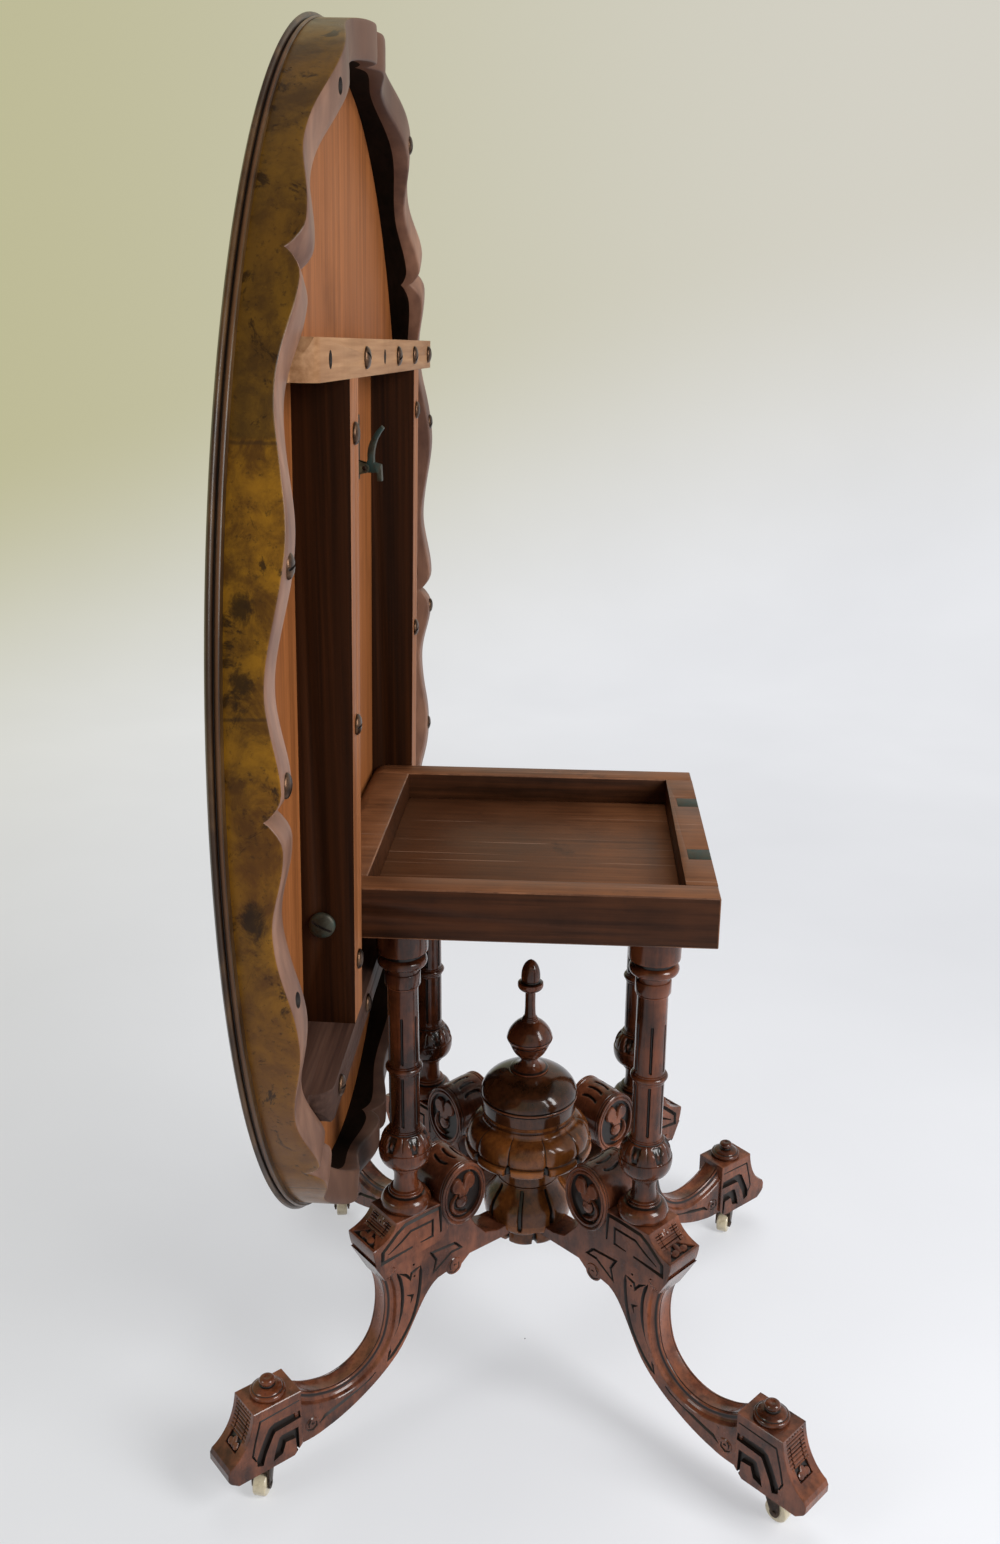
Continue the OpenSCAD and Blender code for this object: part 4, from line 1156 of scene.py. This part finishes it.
def pocket(outline, face_at, deep, draft=0.7):
    """Cutter with a flat floor, which its sides reach at a draft inward."""
    line = anticlockwise(outline)
    side = 1 if face_at > 0 else -1
    rim = across_leg(line, face_at + side * OVER)
    floor = across_leg(line + left_of(line, True) * draft, face_at - side * deep)
    n = len(line)
    faces = [(i, (i + 1) % n, n + (i + 1) % n, n + i) for i in range(n)]
    faces += [tuple(range(n)), tuple(range(2 * n - 1, n - 1, -1))]
    return joined(rim, floor), faces


def cutters_of(parts):
    """One cutting object of several forms; what it cuts gets the carved ground, a near-black
    painted shade.
    """
    points, faces = gathered(parts)
    return linked("cutters", carved_mesh("cutters", points, faces, [1] * len(faces)))


def cut_mesh(mesh, parts):
    """A mesh with forms cut out of it, through an object made for that alone."""
    piece = linked("part", mesh)
    carve(piece, cutters_of(parts))
    mesh = piece.data
    bpy.data.objects.remove(piece)
    return mesh


def both_sides(kind, lines, half, **how):
    return [kind(line, side * half, **how) for line in lines for side in (-1, 1)]


KNEE = LEG_TOP - 68
PLATE_HALF, LEG_BLOCK_HALF, FOOT_HALF = 19, 26, 22
LIP_TOP, LIP_END = (212, LEG_TOP), (243, 260.5)
TOE_TOP, TOE_END = (397, 124), (428, 68)
SCROLL_AT = np.array([120, 285])
SCROLL_RADII = np.array([31, 40])
FOOT_LOW = 42
LEG_OUT = joined(
    curve([(229, KNEE), (217, KNEE - 20), (216, 161), (227, 132)], 14),
    curve([(227, 132), (239, 105), (271, 89), (302, 98)], 14)[1:],
    curve([(302, 98), (316, 102), (330, 107), (341, 120)], 7)[1:],
)
LEG_IN = joined(
    curve([(341, FOOT_LOW + 8), (331, 49), (319, 49), (308, 52)], 6),
    curve([(308, 52), (272, 58), (225, 82), (203, 108)], 12)[1:],
    curve([(203, 108), (185, 130), (171, 170), (150, 178)], 12)[1:],
    arc(127, 184, 11, -20, -160, 14),
    [(104, 190), (34, 190)],
)


def leg_plate():
    """The concave leg with its grooved faces."""
    outline = joined(
        [(34, 204), (62, 204), (80, 209), (97, 229), (108, 252)],
        [(140, LEG_TOP - 1), (212, LEG_TOP - 6)],
        beside(LEG_OUT, -11),
        LEG_IN,
    )
    lines = [
        joined(
            curve([(208, 212), (199, 196), (199, 165), (206, 149)], 8),
            curve([(206, 149), (211, 134), (220, 119), (237, 115)], 7)[1:],
        ),
        joined(
            curve([(175, 207), (175, 186), (178, 160), (188, 140)], 8),
            curve([(188, 140), (196, 126), (210, 108), (224, 99)], 7)[1:],
        ),
        joined(curve([(249, 108), (262, 99), (290, 91), (312, 92)], 8), [(315, 85)]),
        joined(curve([(240, 92), (258, 84), (290, 74), (308, 71)], 8), [(316, 65)]),
    ]
    barbs = [
        [(126, 215), (160, 217), (153, 204), (157, 189), (131, 205), (117, 205), (126, 215)],
        [(205, 210), (196, 204), (190, 196), (188, 203), (182, 205), (175, 207)],
        [(238, 116), (230, 117), (221, 119), (220, 110), (224, 99)],
        [(247, 107), (249, 100), (240, 92)],
        [(249, 100), (257, 94)],
        [(195, 176), (187, 172), (190, 163)],
        [(270, 87), (276, 82), (284, 86)],
    ]
    dots = [arc(185, 213, 1.6, 0, 330, 8), arc(184, 197, 1.4, 0, 330, 8)]
    parts = both_sides(groove, lines, PLATE_HALF, wide=2.3, deep=3.0)
    parts += both_sides(groove, barbs, PLATE_HALF, wide=1.8, deep=2.6)
    parts += both_sides(pocket, dots, PLATE_HALF, deep=2.0, draft=0.2)
    return cut_mesh(slab("leg_plate", outline, PLATE_HALF), parts)


# Half of the moulded front's section: places across it, and how deep they lie
FRONT_HALF = [(0, 0.8), (4, 0.5), (7.8, 0.1), (8.4, 0), (8.9, 0.9), (9.5, 1), (10.1, 0.2)]
FRONT_HALF += [(11.2, 0.3), (11.9, 1), (12, 2.6), (12.4, 3.6), (13, 6.5), (14.6, 8.6), (17, 9.8)]
FRONT_HALF += [(18.2, 10.3), (19, 11.2), (18.6, 16)]


def front_moulding():
    """The leg's moulded front, swept down its curve."""
    line = even_points(LEG_OUT, 3)
    t, deep = np.array([(-t, d) for t, d in FRONT_HALF[::-1]] + FRONT_HALF[1:]).T
    places = line[:, None] - left_of(line)[:, None] * deep[:, None]
    # Painted shade in the quirks at both sides of the front.
    dark = 0.9 * (within(np.abs(t), 8.5, 9.9) | within(np.abs(t), 11.9, 12.5))
    k = len(t)
    faces = loop_faces(len(line), k, False, True)
    faces += [tuple(range(k)), tuple((len(line) - 1) * k + j for j in range(k))[::-1]]
    points = across_leg(places, t).reshape(-1, 3)
    return carved_mesh("front_moulding", points, faces, None, {"hollow": np.tile(dark, len(line))})


def reeded(u, t, low, high, half, pitch, shift, deep):
    """Rounded reeds side by side across a strip: where they are, how deep, and how dark the painted
    shade in their valleys is.
    """
    on = (u > low) & (u < high) & (np.abs(t) < half)
    ribs = 1 - np.sqrt(held(1 - (2 * (np.mod((u - low + shift) / pitch + 0.5, 1) - 0.5)) ** 2))
    depth = np.where(on, 0.3 + deep * ribs, 0.0) * fades(half - np.abs(t), 0, 0.7)
    return on, (depth, np.where(on, held(ribs**1.5 * 1.7), 0.0))


def cut_in(relief, on, deep, dark):
    return np.where(on, deep, relief[0]), np.where(on, dark, relief[1])


def blobs(u, t, *ovals):
    """1 at the middle of each oval, 0 at its edge and beyond; an oval is its place and radii."""
    return np.maximum.reduce(
        [held(1 - ((u - a) / ru) ** 2 - ((t - b) / rt) ** 2) for a, b, ru, rt in ovals]
    )


def raise_leaf(relief, u, t, ground_at, *ovals):
    """A leaf of rounded lobes, raised from the ground round it, with painted shade at its edges."""
    leaf = blobs(u, t, *ovals)
    return cut_in(relief, leaf > 0.01, ground_at - 1.1 * leaf**0.5, held(1 - leaf * 5))


def lip_relief(u, t):
    """Reeds across the lip's slope, under a small leaf, with a spreading leaf at the bottom;
    painted shade in the reeds' valleys, the cuts and round the leaves.
    """
    off = np.abs(t)
    reed, relief = reeded(u, t, 4.6, 24.5, 18.5, 3.0, 1.5, 2.0)
    relief = cut_in(relief, within(off, 11.5, 12.6) & reed, 2.2, 1.0)
    relief = cut_in(relief, (u >= 24.5) & (u < 38) & (off < 6 + (u - 24.5) * 1.1), 2.5, 1.0)
    bud = (6.5, 0, 3.4, 3.4), (9.5, -4, 3.4, 3.4), (9.5, 4, 3.4, 3.4)
    leaf = (29, 0, 6.5, 3.6), (32.5, -7, 4.2, 6.0), (32.5, 7, 4.2, 6.0)
    relief = raise_leaf(relief, u, t, 0.9, *bud)
    deep, dark = raise_leaf(relief, u, t, 0.9, *leaf)
    return np.maximum(deep, -0.2), dark


def toe_relief(u, t):
    """Broad reeds across the front of the foot, with a leaf at the bottom on a ground in painted
    shade, and painted shade in the reeds' valleys and cuts.
    """
    off = np.abs(t)
    reed, relief = reeded(u, t, 5, 38, 16, 4.4, 2.2, 2.4)
    teeth = np.abs(np.mod(t / 5 + 0.5, 1) - 0.5) * 6 < u - 2.0
    relief = cut_in(relief, within(u, 2.0, 5.0) & teeth & (off < 16), 1.6, 0.9)
    relief = cut_in(relief, within(off, 8.6, 9.8) & reed & (u > 14), 2.7, 1.0)
    relief = cut_in(relief, (u >= 38) & (u < 52) & (off < 11), 2.5, 1.0)
    leaf = (44.5, 0, 6.5, 4.0), (47, -5.5, 4.4, 4.4), (47, 5.5, 4.4, 4.4)
    deep, dark = raise_leaf(relief, u, t, 0.8, *leaf)
    return np.maximum(deep, -0.3), dark


def leg_block():
    """The block under the column, with its carved lip."""
    outline = joined(
        [(146, LEG_TOP)],
        even_points(curve([LIP_TOP, (215, 272), (227, 264), LIP_END], 12), 1.0),
        curve([(243.2, 259), (242.2, 246), (238, 232), (228, KNEE - 1)], 10),
        [(222, KNEE + 12), (150, KNEE + 18), (140, KNEE + 30)],
    )
    across, strip = np.linspace(-25.2, 25.2, 85), (LIP_TOP, LIP_END, lip_relief)
    mesh = slab("leg_block", outline, LEG_BLOCK_HALF, across, [strip], gap=6)
    outer = [(151, 246), (152, 279), (170, 279), (200, 277.5), (211, 271), (231, 254)]
    outer += [(231.5, 240.5), (191, 244)]
    inner = [(224, 248.5), (206, 257.5), (193, 266), (162.5, 266.5), (163, 246), (180, 245)]
    parts = both_sides(groove, [outer], LEG_BLOCK_HALF, wide=2.4, deep=3.2, ends=0.6)
    parts += both_sides(groove, [inner], LEG_BLOCK_HALF, wide=1.6, deep=2.6, ends=0.5)
    return cut_mesh(mesh, parts)


def leg_nose():
    """The wedge that leads the block's lower front in to the moulded front."""
    corners = ((241.5, 25, 240), (229, 26, 217), (214, 26, 226))
    corners += ((228, 13.5, 211), (221, 13.5, 205), (212, 19.5, 212))
    work = bmesh.new()
    for side in (-1, 1):
        for s, t, z in corners:
            work.verts.new((s, side * t, z))
    bmesh.ops.convex_hull(work, input=work.verts)
    work.verts.ensure_lookup_table()
    points = [tuple(v.co) for v in work.verts]
    faces = [tuple(v.index for v in f.verts) for f in work.faces]
    work.free()
    return carved_mesh("nose", points, faces)


def scroll_height(x, y):
    """Height over the carved ground of the scroll's face: double rim, leaf, boss and its hook."""
    rho = np.hypot(x / SCROLL_RADII[0], y / SCROLL_RADII[1])
    height = 4.5 * fades(rho, 0.775, 0.80) - 1.6 * ridge(rho, 0.895, 0.022)
    leaf = blobs(x, y, (-8, 14, 8.5, 11), (9.5, 13, 8, 10), (0.5, 6, 8.5, 9.5), (1.5, -1, 6.5, 9))
    leaf_height = 4.3 * held(leaf * 3.2) ** 0.6 - 2.8 * ridge(x, 0.6, 1.3) * fades(y, 5, 12)
    away = np.hypot(x - 2, y + 10.5)
    angle = np.degrees(np.arctan2(y + 10.5, x - 2))
    hook_wide = np.interp(angle, (-115, -60, 0, 62), (0.3, 3.4, 3.0, 0.4))
    hook = 4.2 * held((1 - np.abs(away - 14.4) / hook_wide) * 1.6) ** 0.6 * within(angle, -115, 62)
    height = np.maximum(height, np.where(rho < 0.79, np.maximum(leaf_height, hook), 0))
    height = np.where(within(away, 8.0, 10.4) & (y < -2), 0, height)
    return np.maximum(height, 4.8 * blobs(x, y, (2, -10.5, 8.2, 8.6)) ** 0.5)


def leg_scroll():
    """Oval drum of the scroll, carved on both faces and rolled over the top with gouged marks."""
    sides, half = 176, 30
    angles = np.arange(sides) * 2 * math.pi / sides
    around = np.stack([np.cos(angles), np.sin(angles)], 1)
    rims = np.array([-29.2, -28, -27.5, -27, -26.5, -26, -24.3, -23.8, -23.3, -22.8])
    across = joined(rims, np.linspace(-20, 20, 41), -rims[::-1])
    off, degrees = np.abs(across), np.degrees(angles)[:, None]
    deep = np.repeat([(ridge(off, 27, 0.45) + ridge(off, 23.5, 0.45)) * 1.1], sides, 0)
    for at in (62, 84, 106, 128):
        mark = ridge(degrees, at + 0.030 * across**2, 2.6) * fades(14.5 - off, 0, 4)
        deep = np.maximum(deep, 2.4 * mark)
    drum = SCROLL_AT + (SCROLL_RADII - deep[..., None]) * around[:, None]
    points = [across_leg(drum, across).reshape(-1, 3)]
    # Painted shade in the rims' grooves and in the gouged marks.
    masks = [held(deep / 1.2).ravel()]
    k = len(across)
    faces = loop_faces(sides, k, True, False)
    count = sides * k
    shares = joined([0.975], np.linspace(0.955, 0.76, 16), np.linspace(0.74, 0.03, 34))
    for side in (-1, 1):
        edge = [i * k + (0 if side < 0 else k - 1) for i in range(sides)]
        for share in shares:
            place = SCROLL_RADII * share * around
            height = scroll_height(*place.T)
            points.append(across_leg(SCROLL_AT + place, side * (half - 4.5 + height)))
            # Painted shade: the lower the carved face lies, the darker.
            masks.append(held(1.25 - height / 1.6))
            ring = list(range(count, count + sides))
            faces += zip(edge, edge[1:] + edge[:1], ring[1:] + ring[:1], ring)
            edge = ring
            count += sides
        faces.append(tuple(edge))
    return carved_mesh("scroll", joined(*points), faces, None, {"hollow": joined(*masks)})


# The small scrolls' spiral: shares of the radius, and angles in radians
SPIRAL = [(0.86, 1.2), (0.78, 0.4), (0.7, -0.5), (0.62, -1.5), (0.55, -2.5)]
SPIRAL += [(0.45, -3.5), (0.33, -4.6), (0.18, -5.6)]


def small_scroll(name, s, z, radius, half):
    """The curl under the knee or under the foot."""
    mesh = slab(name, arc(s, z, radius, 0, 350, 28), half, bevel=1.2)
    spiral = [(s + q * radius * math.cos(a), z + q * radius * math.sin(a)) for q, a in SPIRAL]
    return cut_mesh(mesh, both_sides(groove, [spiral], half, wide=1.8, deep=3.0, ends=0.6))


def leg_foot():
    """The foot, with its reeded toe and sunk panels."""
    outline = joined(
        [(339, 124)],
        even_points(curve([TOE_TOP, (400, 97), (411, 77), TOE_END], 14), 1.0),
        [(430.6, 63), (430.6, 54), (428, 49.5), (419, FOOT_LOW), (350, FOOT_LOW), (339, 53)],
    )
    across, strip = np.linspace(-21.2, 21.2, 71), (TOE_TOP, TOE_END, toe_relief)
    mesh = slab("leg_foot", outline, FOOT_HALF, across, [strip], gap=6)
    outer = [(341.4, 99.6), (374.2, 100.3), (380.9, 96.5), (388, 82.7), (396.6, 64.5), (396.4, 55)]
    inner = [(340.6, 89.4), (372.5, 87.7), (375, 84), (384.2, 66.1), (389, 51.4)]
    bar = [(344.1, 78.7), (364.6, 79.1), (368.2, 77.3), (373.7, 62.3), (376.7, 49.7)]
    heart = [(373.1, 51.4), (364.6, 54.1), (361.1, 63.9), (360.4, 66.7), (348.4, 65.4)]
    heart += [(347, 47), (343.6, 46.2)]
    line = [(342, 113), (390, 111.5), (397.5, 86), (401, 71), (397, 62)]
    parts = both_sides(pocket, [outer + inner[::-1], bar + heart], FOOT_HALF, deep=4.5)
    parts += both_sides(groove, [line], FOOT_HALF, wide=1.3, deep=1.8, ends=0.7)
    return cut_mesh(mesh, parts)


def leg_mesh():
    """All of a leg's parts in one mesh, in its own s, t and z."""
    work = bmesh.new()
    parts = [leg_plate(), front_moulding(), leg_block(), leg_nose(), leg_scroll()]
    parts += [small_scroll("under", 127, 184, 11.4, 20), small_scroll("foot", 325, 68.5, 9, 20.4)]
    parts.append(leg_foot())
    for part in parts:
        work.from_mesh(part)
    mesh = bpy.data.meshes.new("carved_leg")
    finished(mesh, [mahogany, ground])
    for mask_name in MASKS:
        if mask_name not in work.verts.layers.float:
            work.verts.layers.float.new(mask_name)
    work.to_mesh(mesh)
    work.free()
    return mesh


leg_pattern = leg_mesh()
for corner, (x_side, y_side) in CORNERS.items():
    mesh = leg_pattern.copy()
    heading = math.atan2(y_side * math.sin(LEG_ANGLE), x_side * math.cos(LEG_ANGLE))
    mesh.transform(Matrix.Rotation(heading, 4, "Z"))
    place_piece(mesh, "carved_leg_" + corner, "base", ["leg_" + corner], 24)


# ---------------------------------------------------------------- block, screws and metalwork


def worn_edges(face):
    """The softened edges of a squared piece get its worn finish."""
    return 1 if max(abs(c) for c in face.normal) < 0.985 and face.center.x > -0.195 else 0


worn_block = polished_wood(
    "worn block edge", (0.05, 0.018, 0.008), (0.26, 0.110, 0.050), (0.2, 0.2, 1), 0.3
)
rail_finishes = [block_finish, worn_block]
for side in ("near", "far", "left", "right"):
    dressed_copy("block_rail_" + side, rail_finishes, "base", 1.3, worn_edges)
dressed_copy("block_panel", [block_finish], "base", 0.5)
dressed_copy("keeper_plates", [verdigris], "base", 0.5)


SCREW_R, SCREW_HIGH = 10, 5
BOX_FACES = [(0, 1, 2, 3), (4, 5, 6, 7), (0, 1, 5, 4), (1, 2, 6, 5), (2, 3, 7, 6), (3, 0, 4, 7)]


def slot_cutter(place, angle, half, wide, *heights):
    """Cutter for the slot of a head at a place, between two heights over it."""
    along = np.array([math.cos(angle), math.sin(angle), 0])
    aside = np.array([-along[1], along[0], 0])
    corners = [
        np.asarray(place) + along * u * half + aside * v * wide + np.array([0, 0, w])
        for w in heights
        for u, v in ((-1, -1), (1, -1), (1, 1), (-1, 1))
    ]
    return np.array(corners), BOX_FACES


def screw_heads(name, node, places):
    """Domed and slotted heads with a little of their shanks; each is turned its own way."""
    profile = joined(
        [(2.4, -15), (2.4, -0.2), (SCREW_R - 0.6, 0.02), (SCREW_R, 0.6)],
        arc(0, 0.9, SCREW_R, 6, 86, 11, SCREW_HIGH - 0.9),
    )
    head, head_faces = turn(profile, 40)[:2]
    points, faces = gathered([(head + place, head_faces) for place in places])
    heights = SCREW_HIGH / 2, SCREW_HIGH + 2
    slots = [
        slot_cutter(place, dice.uniform(0, math.pi), SCREW_R + 2, 1.1, *heights) for place in places
    ]
    mesh = cut_mesh(mesh_of(name, points, faces, [screw_bronze, ground]), slots)
    mesh.transform(scaled_frame(TOP_FRAME))
    place_piece(mesh, name, "top", [node], 30)


def scaled_frame(matrix):
    """A frame given in millimetres, for a mesh that is already in metres."""
    out = matrix.copy()
    out.translation = out.translation * MM
    return out


def bay_place(bay):
    """Where a screw sits on the frieze's edge, at a number of bays from the top end."""
    x, y = oval_point(even_angle(np.array([bay / BAYS])), FRIEZE_A, FRIEZE_B, -FRIEZE_T / 2)
    return (float(x[0]), float(y[0]), float(frieze_depth(np.array([bay % 1]))[0]) - 1.2)


def batten_place(x, side=1):
    return (x, side * (BATTEN_AT + BATTEN_W / 2), BEARER_D)


screw_heads(
    "frieze_screw_heads",
    "frieze_screws",
    [bay_place(b) for b in (0.52, 1.45, 2.06, 2.49, 3.5, 6.06, 6.46)],
)
screw_heads(
    "bearer_screw_heads",
    "bearer_screws",
    [(side * (BEARER_IN + BEARER_T / 2), y, BEARER_D) for side in (-1, 1) for y in (-245, -5, 259)],
)
screw_heads(
    "batten_screw_heads",
    "batten_screws",
    [batten_place(x) for x in (-160, 62, 205, 350)]
    + [batten_place(x, -1) for x in (-337, -174, 62, 205)],
)

dressed_copy("catch_plates", [catch_brass], "top", 0.5)
for lever in ("catch_lever_near", "catch_lever_far"):
    dressed_copy(lever, [verdigris], lever + "_body", 0.5)
dressed_copy("catch_pins", [iron], "top", 0.3)


def bolt_head(end, side):
    """Round head of a pivot bolt with a slot, and the bolt behind it."""
    profile = joined(
        [(5.9, -30), (6, -29), (6, 45.4), (12.6, 45.6), (13, 46.2)],
        arc(0, 47.4, 13, 4, 86, 11, 5.2),
    )
    name = "pivot_bolt_turned_" + end
    points, faces, masks = turn(profile, 48)
    mesh = mesh_of(name, points, faces, [verdigris, ground], None, masks)
    mesh = cut_mesh(mesh, [slot_cutter((0, 0, 0), 0, 16, 1.3, 50.2, 55)])
    spot = Matrix.Translation((PIVOT.x, side * BLOCK_DEPTH, PIVOT.z))
    outward = Matrix.Rotation(-side * math.pi / 2, 4, "X") @ Matrix.Rotation(0.5 + side, 4, "Z")
    mesh.transform(scaled_frame(spot @ outward))
    place_piece(mesh, name, "base", ["pivot_bolt_" + end], 30)


bolt_head("near", -1)
bolt_head("far", 1)

wheel_profile = joined(
    [(2.6, -6.2), (4.6, -6.4), (5.2, -7.4)],
    arc(10.9, -4.9, 2.6, -90, -4, 8),
    arc(10.9, 4.9, 2.6, 4, 90, 8),
    [(5.2, 7.4), (4.6, 6.4), (2.6, 6.2)],
)
# Degrees each castor is turned to, as it stands in the photo
HEADINGS = {"near_left": -96, "near_right": -40, "far_left": -80, "far_right": -110}
for corner, heading in HEADINGS.items():
    fork = "fork_" + corner
    for kind, body, bevel in (("plate", "base", 0.4), ("fork", fork, 0.6), ("axle", fork, 0.4)):
        dressed_copy("castor_%s_%s" % (kind, corner), [iron], body, bevel)
    stand = (
        corner_spot(corner, CASTOR_AT, 0)
        @ Matrix.Rotation(math.radians(heading), 4, "Z")
        @ Matrix.Translation((CASTOR_TRAIL, 0, WHEEL_R))
        @ Matrix.Rotation(math.pi / 2, 4, "X")
    )
    turned_piece(
        "ceramic_wheel_" + corner,
        wheel_profile,
        64,
        ceramic,
        ["castor_wheel_" + corner],
        stand,
        None,
        40,
        "wheel_" + corner,
    )


def drilled(places, radius, deep):
    """Cutters for round holes that go down from places on the underside of the top."""
    points, faces = turn([(radius * 0.8, -deep), (radius * 0.85, -1.5), (radius, 3)], 24)[:2]
    piece = cutters_of([(points + place, faces) for place in places])
    piece.data.transform(scaled_frame(TOP_FRAME))
    return piece


# Holes that have lost their screws
carve(upper_batten, drilled([batten_place(x) for x in (-340, -36)], 8, 12))
carve(frieze, drilled([bay_place(b) for b in (5.58, 7.45)], 7, 12))


# ---------------------------------------------------------------- camera, lights and room


FOCAL_PX, PHOTO_HIGH_PX = 1341.70, 1544


def set_camera():
    """The photo's camera, as solved from points of the table."""
    yaw, pitch, roll = math.radians(3.2062), math.radians(17.6297), math.radians(0.4672)
    right = Vector((math.cos(yaw), math.sin(yaw), 0))
    level = Vector((-math.sin(yaw), math.cos(yaw), 0))
    ahead = level * math.cos(pitch) - Vector((0, 0, math.sin(pitch)))
    up = right.cross(ahead)
    side = right * math.cos(roll) + up * math.sin(roll)
    over = up * math.cos(roll) - right * math.sin(roll)
    lens = bpy.data.cameras.new("camera")
    lens.sensor_fit = "VERTICAL"
    lens.sensor_height = 36
    lens.lens = FOCAL_PX / PHOTO_HIGH_PX * lens.sensor_height
    camera = linked("camera", lens)
    facing = Matrix((side, over, -ahead)).transposed().to_4x4()
    camera.matrix_world = Matrix.Translation((0.04181, -1.42480, 1.21756)) @ facing
    bpy.context.scene.camera = camera


def area_light(name, spot, target, size, power):
    lamp = bpy.data.lights.new(name, "AREA")
    lamp.shape = "RECTANGLE"
    lamp.size, lamp.size_y = size
    lamp.energy = power
    lamp.color = (1, 1, 1)
    holder = linked(name, lamp)
    holder.location = spot
    holder.rotation_euler = (Vector(target) - Vector(spot)).to_track_quat("-Z", "Y").to_euler()
    holder.visible_camera = False
    holder.visible_glossy = name != "overhead"


def room_finish():
    """Pale paper: it glows for the eye far out, and takes the table's shadow near it; painted shade
    makes it darker and yellower upward and to the left.
    """
    f = Finish("pale paper", Roughness=0.9)
    x, y, z = f.apart(f.place())
    # The near paper's colour varies in broad soft patches.
    broad_patches = f.noise(1.3, detail=3)
    low = f.mix(broad_patches, (0.76, 0.77, 0.80), (0.86, 0.87, 0.90))
    # Painted shade: darker and yellower upward and to the left.
    high = f.mix((x * 0.25 + 0.15).step(-0.6, 0.6), (0.52, 0.50, 0.30), (0.68, 0.66, 0.59))
    tone = f.mix((z - x * 0.28).step(-0.2, 1.5), low, high)
    paths = f.tree.nodes.new("ShaderNodeLightPath")
    rays = ("Is Camera Ray", "Is Glossy Ray", "Is Transmission Ray")
    seen = most([Tone(f, paths.outputs[ray]) for ray in rays])
    f.set(Base_Color=tone)
    glow = f.tree.nodes.new("ShaderNodeEmission")
    f.plug(glow.inputs["Color"], tone)
    blend = f.tree.nodes.new("ShaderNodeMixShader")
    outward = (x * x + y * y).root().step(0.5, 3.2)
    f.plug(blend.inputs[0], seen * (outward * 0.45 + 0.5))
    f.tree.links.new(f.surface.outputs[0], blend.inputs[1])
    f.tree.links.new(glow.outputs[0], blend.inputs[2])
    f.tree.links.new(blend.outputs[0], f.tree.nodes["Material Output"].inputs["Surface"])
    return f


def make_room():
    """Floor of pale paper that curves up all round into a wall, outside every camera."""
    paper = room_finish()
    floor = joined([(0.001, 0), (1.2, 0), (3.2, 0)], arc(3.2, 1.5, 1.5, -90, -60, 6))
    wall = joined(arc(3.2, 1.5, 1.5, -60, 0, 10), [(4.7, 6)])
    for name, profile in (("paper_floor", floor), ("paper_wall", wall)):
        points, faces = turn(profile, 96, inward=True)[:2]
        mesh = bpy.data.meshes.new(name)
        mesh.from_pydata(points.tolist(), [], faces)
        finished(mesh, [paper])
        mesh.polygons.foreach_set("use_smooth", [True] * len(mesh.polygons))
        sheet = linked(name, mesh)
        if name == "paper_wall":
            sheet.visible_diffuse = False
            sheet.visible_shadow = False


def set_world():
    world = bpy.data.worlds.new("room light")
    world.use_nodes = True
    light = world.node_tree.nodes["Background"]
    light.inputs["Color"].default_value = (0.95, 0.97, 1.0, 1)
    light.inputs["Strength"].default_value = 0.25
    bpy.context.scene.world = world


set_camera()
make_room()
set_world()
area_light("window", (2.1, -1.3, 1.9), (0, 0, 0.5), (1.1, 1.7), 80)
area_light("fill", (-2.3, -1.5, 1.7), (-0.1, 0, 0.6), (0.9, 1.6), 22)
area_light("overhead", (0.3, 0.9, 3.0), (0, 0, 0.6), (1.8, 1.8), 34)
bpy.context.scene.view_settings.view_transform = "Standard"
